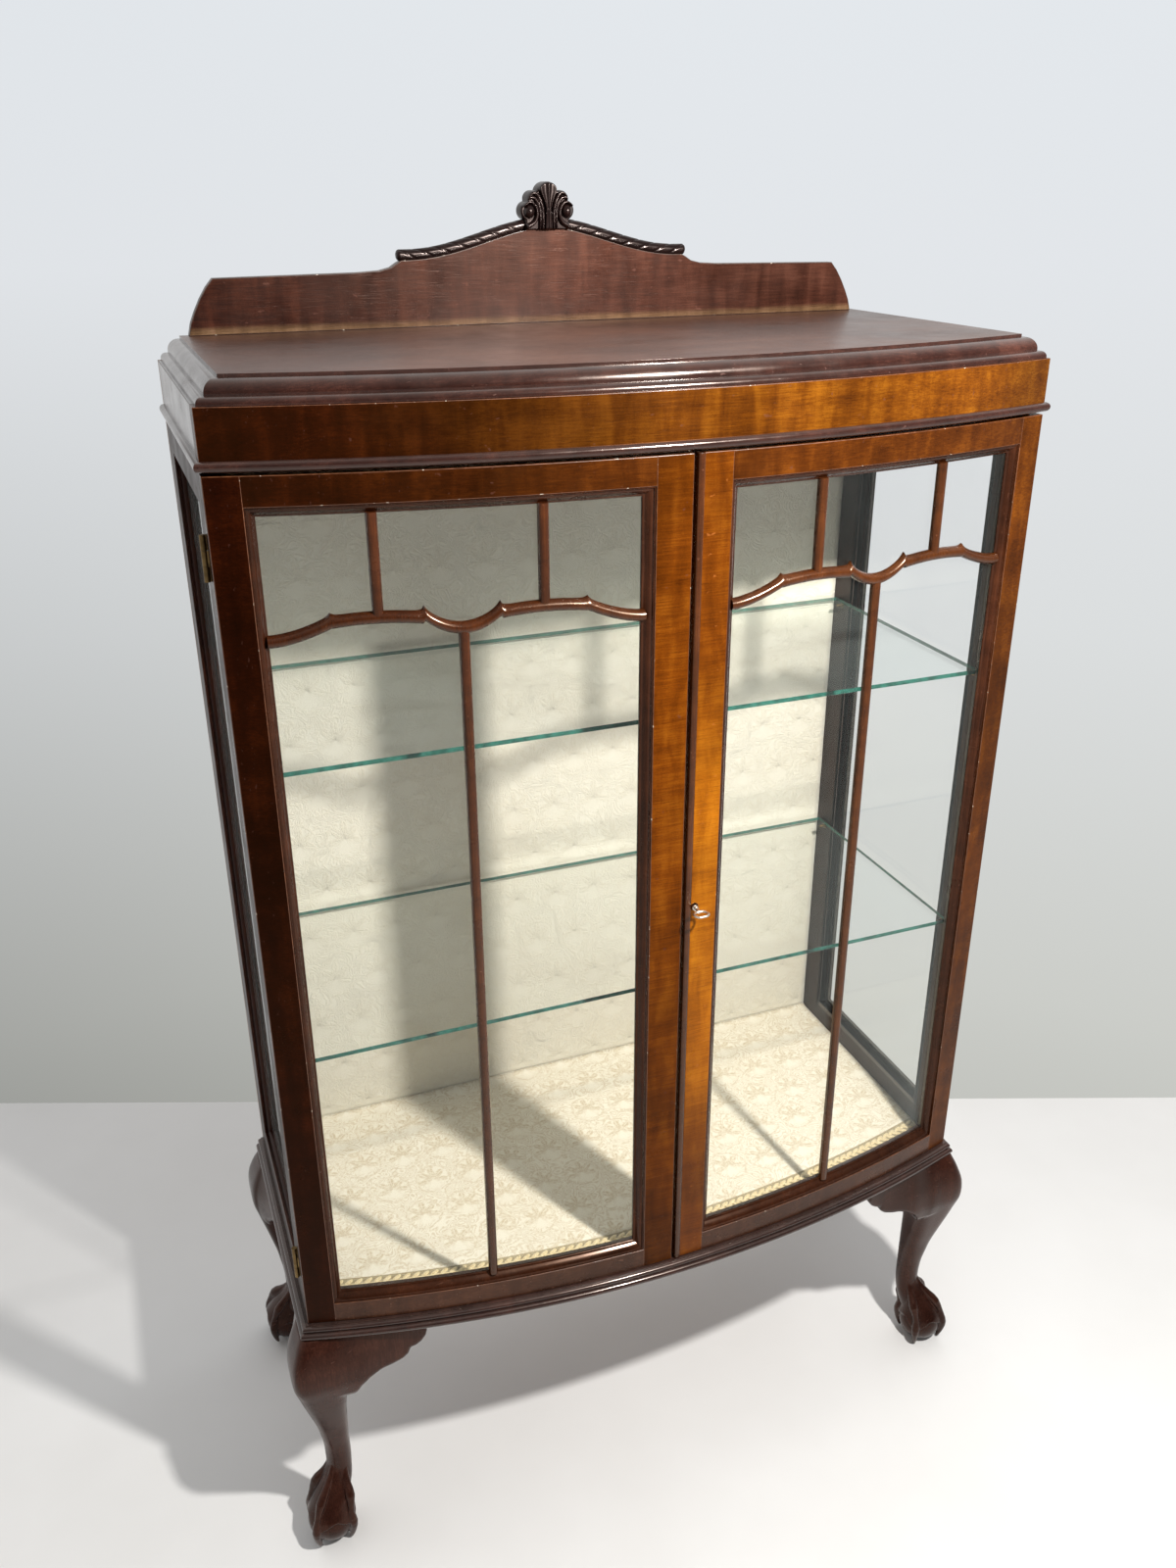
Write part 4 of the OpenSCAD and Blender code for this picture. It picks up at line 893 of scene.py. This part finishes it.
def serpentine():
    rings = []
    for s in spread(-OPEN_HALF - 2.5, OPEN_HALF + 2.5, 180):
        x, z = BARS_MID + s, SERP_Z + serp_mid(s)
        nib = 3.4 * sum(exp(-abs(s - c) / 3.2) for c in (-NIB_OUT, -NIB_IN, NIB_IN, NIB_OUT))
        ring = []
        for a in [pi * k / 12 for k in range(13)]:
            u = cos(a)
            half = 6.2 + (nib if u > 0 else 0) * u ** 2
            ring.append((x, bow(x, BAR_BACK - 8.6 * sin(a) ** 0.8), z + u * half))
        rings.append(ring)
    return loft(rings)


BAR_SECTION = [(-5.2, BAR_BACK), (-5.2, 8.0), (-4.9, 6.6), (-4.0, 5.3), (-2.4, 4.4)]
BAR_SECTION += [(0, 4.1)] + [(-x, i) for x, i in BAR_SECTION[::-1]]


def bar(s, z0, z1):
    return loft([[(BARS_MID + s + dx, bow(BARS_MID + s, i), z) for dx, i in BAR_SECTION] for z in (z0, z1)])


MEET_PLAN = [(2, 6), (9, 6), (9, 0), (20, 0), (30, 0), (MEET_X, 0), (MEET_X, DOOR_T), (30, DOOR_T), (20, DOOR_T),
             (2, DOOR_T)]
STRIP_PLAN = [(2, 6), (9, 6), (9, -0.3), (8.4, -1.4), (7.2, -1.9), (5.5, -2), (3.8, -1.9), (2.6, -1.4), (2, -0.3)]
rail_in = (0.06, DOOR_T - 0.06)
sight = [frame_loop(w, i) for i, w in SIGHT_SECTION]
upper = (SERP_Z + 14, PANEL_Z1 - SIGHT_W + 1.5)
bars = merged(serpentine(), bar(80, *upper), bar(-80, *upper), bar(0, PANEL_Z0 + SIGHT_W - 1.5, SERP_Z - 1))
FIGURED, DARK = "figured_veneer", "dark_mahogany"
for side, flip in SIDES:
    body = side + "_door"
    for new_name, part, mats, cad_name, slot_name, looks in (
            ("outer_stile_veneered", stile(OUTER_X, HALF), [W_stile, E_front], "outer_stile", FIGURED, EDGE),
            ("door_top_rail_veneered", band(*rail_in, PANEL_Z1, DOOR_Z1 - 0.02, MEET_X - 1, OUTER_X + 1),
             [W_rail, E_front], "door_top_rail", FIGURED, EDGE),
            ("door_bottom_rail_veneered", band(*rail_in, DOOR_Z0 + 0.02, PANEL_Z0, MEET_X - 1, OUTER_X + 1),
             [W_low, E_front], "door_bottom_rail", FIGURED, EDGE),
            ("sight_moulding_run", loft(sight + [sight[0]], cap=False), [W_sight], "sight_moulding", DARK,
             dict(sharp=40)),
            ("astragals_rounded", bars, [W_bar], "astragals", DARK, dict(sharp=50))):
        piece(f"{side}_{new_name}", mirrored(part, flip), mats, body, [f"{side}_{cad_name}"], slot_name, **looks)
    if flip:
        st = piece("left_meeting_stile_veneered", mirrored(stile(2, MEET_X)), [W_stile, E_front], body,
                   ["left_meeting_stile"], FIGURED, **EDGE)
        cut(st, box(-10, 0, BOLT_Y0, BOLT_Y1, BOLT_Z0, BOLT_Z1))
    else:
        st = piece("right_meeting_stile_veneered", plan_prism(MEET_PLAN, DOOR_Z0, DOOR_Z1), [W_meet, E_front], body,
                   ["right_meeting_stile"], FIGURED, bevel=0.6, wear=True)
        # the lock's pocket, the keyhole and the bolt's slot are cut one after another, so that they join
        for pocket in (box(5, 33, -57, -30, LOCK_Z - 20, LOCK_Z + 22),
                       turned([(-75, 4.3), (-55, 4.3)], KEY_X, LOCK_Z, 32),
                       box(0, 6, BOLT_Y0, BOLT_Y1, BOLT_Z0, BOLT_Z1)):
            cut(st, pocket)
        piece("meeting_bead_rounded", plan_prism(STRIP_PLAN, DOOR_Z0, DOOR_Z1), [W_bar, E_dark], body,
              ["meeting_bead"], DARK, bevel=0.3, sharp=50, wear=True)

# ------- key
RING_Y, RING_R, WIRE, RING_T, RING_SPLIT = -82.5, 5.9, 1.6, 1.4, 2.2
SHANK = [(-46.3, 1.6), (-47.0, 2.0), (-64.8, 2.0), (-65.2, 3.1), (-66.6, 3.3), (-67.2, 2.3), (-68.4, 2.3),
         (-69.0, 3.0), (-70.0, 3.0), (-70.6, 2.1), (-75.5, 2.0), (-77.0, 2.2)]


def key_mesh():
    loops = []
    for ca, sa in circle(10):
        r = RING_R + WIRE * ca
        loops.append([(KEY_X + (RING_SPLIT if c >= 0 else -RING_SPLIT) + r * c, RING_Y + r * s,
                       LOCK_Z + RING_T * sa) for c, s in circle(48)])
    ring = loft(loops + [loops[0]], cap=False)
    bit = box(KEY_X, KEY_X + 6.4, -53.5, -48.6, LOCK_Z - 1, LOCK_Z + 1)
    return merged(ring, turned(SHANK, KEY_X, LOCK_Z, 20), bit)


piece("key_worn_nickel", key_mesh(), [M_nickel], "key", ["key"], "key_nickel", sharp=45)

# ------- cabriole legs
# depth below the case, outer and inner reach on the diagonal, exponent of the section's roundness
LEG_ROWS = np.array([
    [0, 12, -53, 5], [20, 24, -52, 5], [42, 33, -51.5, 5], [67, 34, -51.5, 5], [89, 27, -50, 4.5],
    [110, 20, -46, 4], [130, 13, -44, 3.5], [150, 6, -44, 3.2], [169, 0, -44, 3], [190, -5, -44, 2.6],
    [210, -9, -44, 2.3], [235, -11, -44, 2], [255, -10, -43, 2], [275, -5, -40, 2], [300, -2, -32, 2]])


def row_at(d, col):
    """Smooth value of a leg column at depth d (cubic through the rows)."""
    xs, ys = LEG_ROWS[:, 0], LEG_ROWS[:, col]
    i = int(np.clip(np.searchsorted(xs, d) - 1, 0, len(xs) - 2))
    h = xs[i + 1] - xs[i]
    t = (d - xs[i]) / h

    def slope(k):
        a, b = max(k - 1, 0), min(k + 1, len(xs) - 1)
        return (ys[b] - ys[a]) / (xs[b] - xs[a])
    m0, m1 = slope(i) * h, slope(i + 1) * h
    return ((2 * t ** 3 - 3 * t ** 2 + 1) * ys[i] + (t ** 3 - 2 * t ** 2 + t) * m0
            + (-2 * t ** 3 + 3 * t ** 2) * ys[i + 1] + (t ** 3 - t ** 2) * m1)


def section_at(d):
    """Middle and half size of the shaft's section along x, and its exponent."""
    do, di, n = row_at(d, 1), row_at(d, 2), row_at(d, 3)
    k = 2 ** (-1 / n)
    return (do + di) / (2 * sqrt(2)), (do - di) / (2 * sqrt(2) * k), n


def shaft():
    rings = []
    for d in np.linspace(0, 300, 84):
        mid, s, n = section_at(d)
        ring = []
        for c, si in circle(44):
            q = s * (abs(c) ** n + abs(si) ** n) ** (-1 / n)
            ring.append((mid + q * c, -mid + q * si, LEG_H - d))
        rings.append(ring)
    return loft(rings)


def foot_centre(z):
    """How far the ankle's axis stands back from the foot's, along x and y alike."""
    return float(np.interp(z, [40, 48, 54, 64, 76, 88, 100, 112, 125],
                           [0, -0.5, -2, -5, -10, -16.5, -22.5, -26, -27.5])) / sqrt(2)


CLAW = ((112, 10.5, 3.0), (104, 11.5, 3.6), (96, 13.0, 4.2), (89, 15.8, 4.7), (82, 20.0, 5.4), (76, 24.0, 6.3),
        (70, 27.0, 6.6), (63, 29.2, 5.2), (56, 30.4, 4.5), (49, 31.2, 4.8), (42, 32.4, 5.9), (35, 33.6, 6.3),
        (28, 34.0, 5.4), (21, 33.2, 4.4), (14, 31.6, 3.7), (8, 29.8, 2.9), (3.4, 28.2, 2.1))  # z, reach, radius
WEB_Z = [36, 42, 48, 54, 60, 68, 76, 84, 92, 100, 114]
WEB_R = [33.6, 32.4, 30.4, 28.2, 26.2, 23.6, 20.6, 17.8, 16.0, 14.6, 12.0]
WEB_TOP, BALL_R, BALL_Z = 114, 31.0, 29.6


def claw(angle):
    path = []
    for z, r, _ in CLAW:
        c = foot_centre(z)
        path.append((c + r * cos(angle), -c + r * sin(angle), z))
    return tube(path, [q[2] for q in CLAW], 14)


def web():
    """Skin of the foot between the claws, scalloped above the ball."""
    rings = []
    for j in range(22):
        t = j / 21
        ring = []
        for k in range(72):
            a = 2 * pi * k / 72
            lobe = cos(4 * (a - pi / 4))
            low = 40 - 7 * lobe
            z = WEB_TOP + (low - WEB_TOP) * t
            c = foot_centre(z)
            r = float(np.interp(z, WEB_Z, WEB_R)) * (1 - 0.06 * sin(pi * t) * (1 - lobe) / 2)
            ring.append((c + r * cos(a), -c + r * sin(a), z))
        rings.append(ring)
    return loft(rings)


def foot_ball():
    v, f = ball((BALL_R, BALL_R, BALL_R), 40, 20)
    return [(x, y, max(0.0, BALL_Z + z)) for x, y, z in v], f


# bracket outline: distance from the corner and depth, and where its sections stand
WING = [(20, 97), (41, 97), (47, 95), (54, 82), (64, 72), (79, 64), (95, 61), (107, 57), (115, 50), (117, 41.5),
        (124, 40), (132, 34), (137, 26), (139, 18)]
WING_AT = (6, 14, 20, 26, 32, 38, 41, 44, 47, 50, 54, 59, 64, 71, 79, 87, 95, 101, 107, 111, 115, 117, 120.5, 124,
           128, 132, 134.5, 137, 139)
WING_BACK, WING_CAP = -25.5, 28.8


def wing(front):
    """A bracket whose face flows out of the knee. front runs along the bow, else along the side."""
    rings = []
    for s in WING_AT:
        low = float(np.interp(s, [w[0] for w in WING], [w[1] for w in WING]))
        swell = (1 - min(1, max(0.0, (s - 24) / 115))) ** 1.7
        pts = []
        for j in range(13):
            d = low * j / 12
            mid, half, _ = section_at(d)
            face = -2 + (min(mid + half, WING_CAP) - 0.05 + 2) * swell
            pts.append((face - 3.2 * max(0.0, 1 - (low - d) / 5.0) ** 2, d))
        pts += [(WING_BACK, low), (WING_BACK, 0)]
        k = min(1.0, max(0.0, (s - 8) / 54))
        follow = k * k * (3 - 2 * k)
        top = LEG_H - 0.05
        rings.append([(-s, bow(HALF - s) * follow - off, top - d) if front else (off, s, top - d)
                      for off, d in pts])
    return loft(rings)


def place(part, sx, sy, x0, y0):
    v, f = part
    v = [(x0 + sx * p[0], y0 + sy * p[1], max(p[2], 0.0)) for p in v]
    return v, ([q[::-1] for q in f] if sx * sy < 0 else f)


foot = carve("foot_form", [foot_ball(), web()] + [claw(radians(a)) for a in (-45, 45, 135, 225)], 0.0010, 2)
front_leg = merged(carve("front_leg_form", [shaft(), wing(True), wing(False)], 0.0019), foot)
back_leg = merged(carve("back_leg_form", [shaft(), wing(False)], 0.0019), foot)
for end, part, sy, y0 in (("front", front_leg, 1, 0), ("back", back_leg, -1, 359)):
    for side, sx in (("left", -1), ("right", 1)):
        name = f"{end}_{side}_leg"
        piece(name + "_carved", place(part, sx, sy, sx * HALF, y0), [W_leg], stands_for=[name, "knee_brackets"],
              slot="carved_mahogany", sharp=75)

# ------- floor, backdrop, light
YAW, PITCH, ROLL = 0.36531, 0.42909, -0.00483
FLOOR_EDGE, FAR = Vector((0.2, 0.556, 0)), 30.0  # the floor ends here, where the backdrop begins
fwd = Vector((sin(YAW), cos(YAW), 0))
right = Vector((cos(YAW), -sin(YAW), 0))
mt, t, bs = material("pale_floor")
n = noise(t, coords(t), 2.2, 4, 0.6)
dress(t, bs, Base_Color=mix(t, grey(t, n, 0.35, 0.65, 0, 1), (0.70, 0.695, 0.685), (0.74, 0.737, 0.73)),
      Roughness=0.55, Specular_IOR_Level=0.3)
ends = [FLOOR_EDGE - right * FAR, FLOOR_EDGE + right * FAR]
corners = ends + [p - fwd * FAR for p in ends[::-1]]
me = bpy.data.meshes.new("studio_floor")
me.from_pydata([tuple(p) for p in corners], [], [(0, 1, 2, 3)])
me.materials.append(mt)
show("studio_floor", me)

world = bpy.data.worlds.new("studio")
bpy.context.scene.world = world
world.use_nodes = True
wt = world.node_tree
wt.nodes.clear()
gen = nd(wt, "ShaderNodeTexCoord", out=0)


def across(axis, a, b, va, vb):
    return grey(wt, sep(wt, gen, axis), a, b, va, vb)


# light from the surroundings: from behind the object, from above and from both sides
lum = calc(wt, "ADD", across(1, -0.35, 0.35, 0.06, 0.66), across(2, 0.1, 0.9, 0.0, 0.38))
lum = calc(wt, "ADD", lum, across(0, -0.45, -1.0, 0.0, 0.36))
lum = calc(wt, "ADD", lum, across(0, 0.45, 1.0, 0.0, 0.12))
light = nd(wt, "ShaderNodeBackground", {0: nd(wt, "ShaderNodeCombineColor", {0: lum, 1: lum, 2: lum}), 1: 1.0})
# what the camera sees behind the object, with painted shade: darker towards the floor, and darker still low on the
# left, where the object's shadow falls on the wall
wall = ramp(wt, across(2, -0.65, 0.35, 0.0, 1.0),
            [(0.0, (0.50, 0.505, 0.47)), (0.12, (0.60, 0.61, 0.58)), (0.36, (0.71, 0.73, 0.735)),
             (0.6, (0.765, 0.79, 0.82)), (0.8, (0.775, 0.81, 0.845))])
low = across(2, -0.62, -0.05, 0.56, 0.97)
left = across(0, -0.12, 0.42, 0.0, 1.0)
wall = shaded(wt, wall, calc(wt, "ADD", low, mul(wt, left, sub(wt, 1.0, low))))
seen = nd(wt, "ShaderNodeBackground", {0: wall})
backdrop = nd(wt, "ShaderNodeMixShader", {0: nd(wt, "ShaderNodeLightPath"), 1: light, 2: seen})
put(wt, wt.nodes.new("ShaderNodeOutputWorld").inputs[0], backdrop)

key_d = bpy.data.lights.new("key", "POINT")
key_d.energy, key_d.shadow_soft_size, key_d.color = 145.0, 0.04, (1.0, 0.975, 0.94)
show("key", key_d).location = (0.324, -0.98, 1.863)

# ------- camera, at the photograph's angle
CAM_AT, FOCAL_PX, PHOTO_PX, SENSOR = (-0.55379, -1.36454, 1.62478), 1330.78, 1600, 36.0
cam_d = bpy.data.cameras.new("camera")
cam = show("camera", cam_d)
cam_d.sensor_width = SENSOR
cam_d.sensor_fit = "AUTO"
cam_d.lens = FOCAL_PX / PHOTO_PX * SENSOR
cam_d.clip_start = 0.05
look = Vector((sin(YAW) * cos(PITCH), cos(YAW) * cos(PITCH), -sin(PITCH)))
up = Vector((0, 0, 1)) * cos(PITCH) + fwd * sin(PITCH)
axes = (right * cos(ROLL) + up * sin(ROLL), -right * sin(ROLL) + up * cos(ROLL), -look)
cam.matrix_world = Matrix.Translation(CAM_AT) @ Matrix(axes).transposed().to_4x4()
bpy.context.scene.camera = cam
bpy.context.scene.view_settings.view_transform = "Standard"
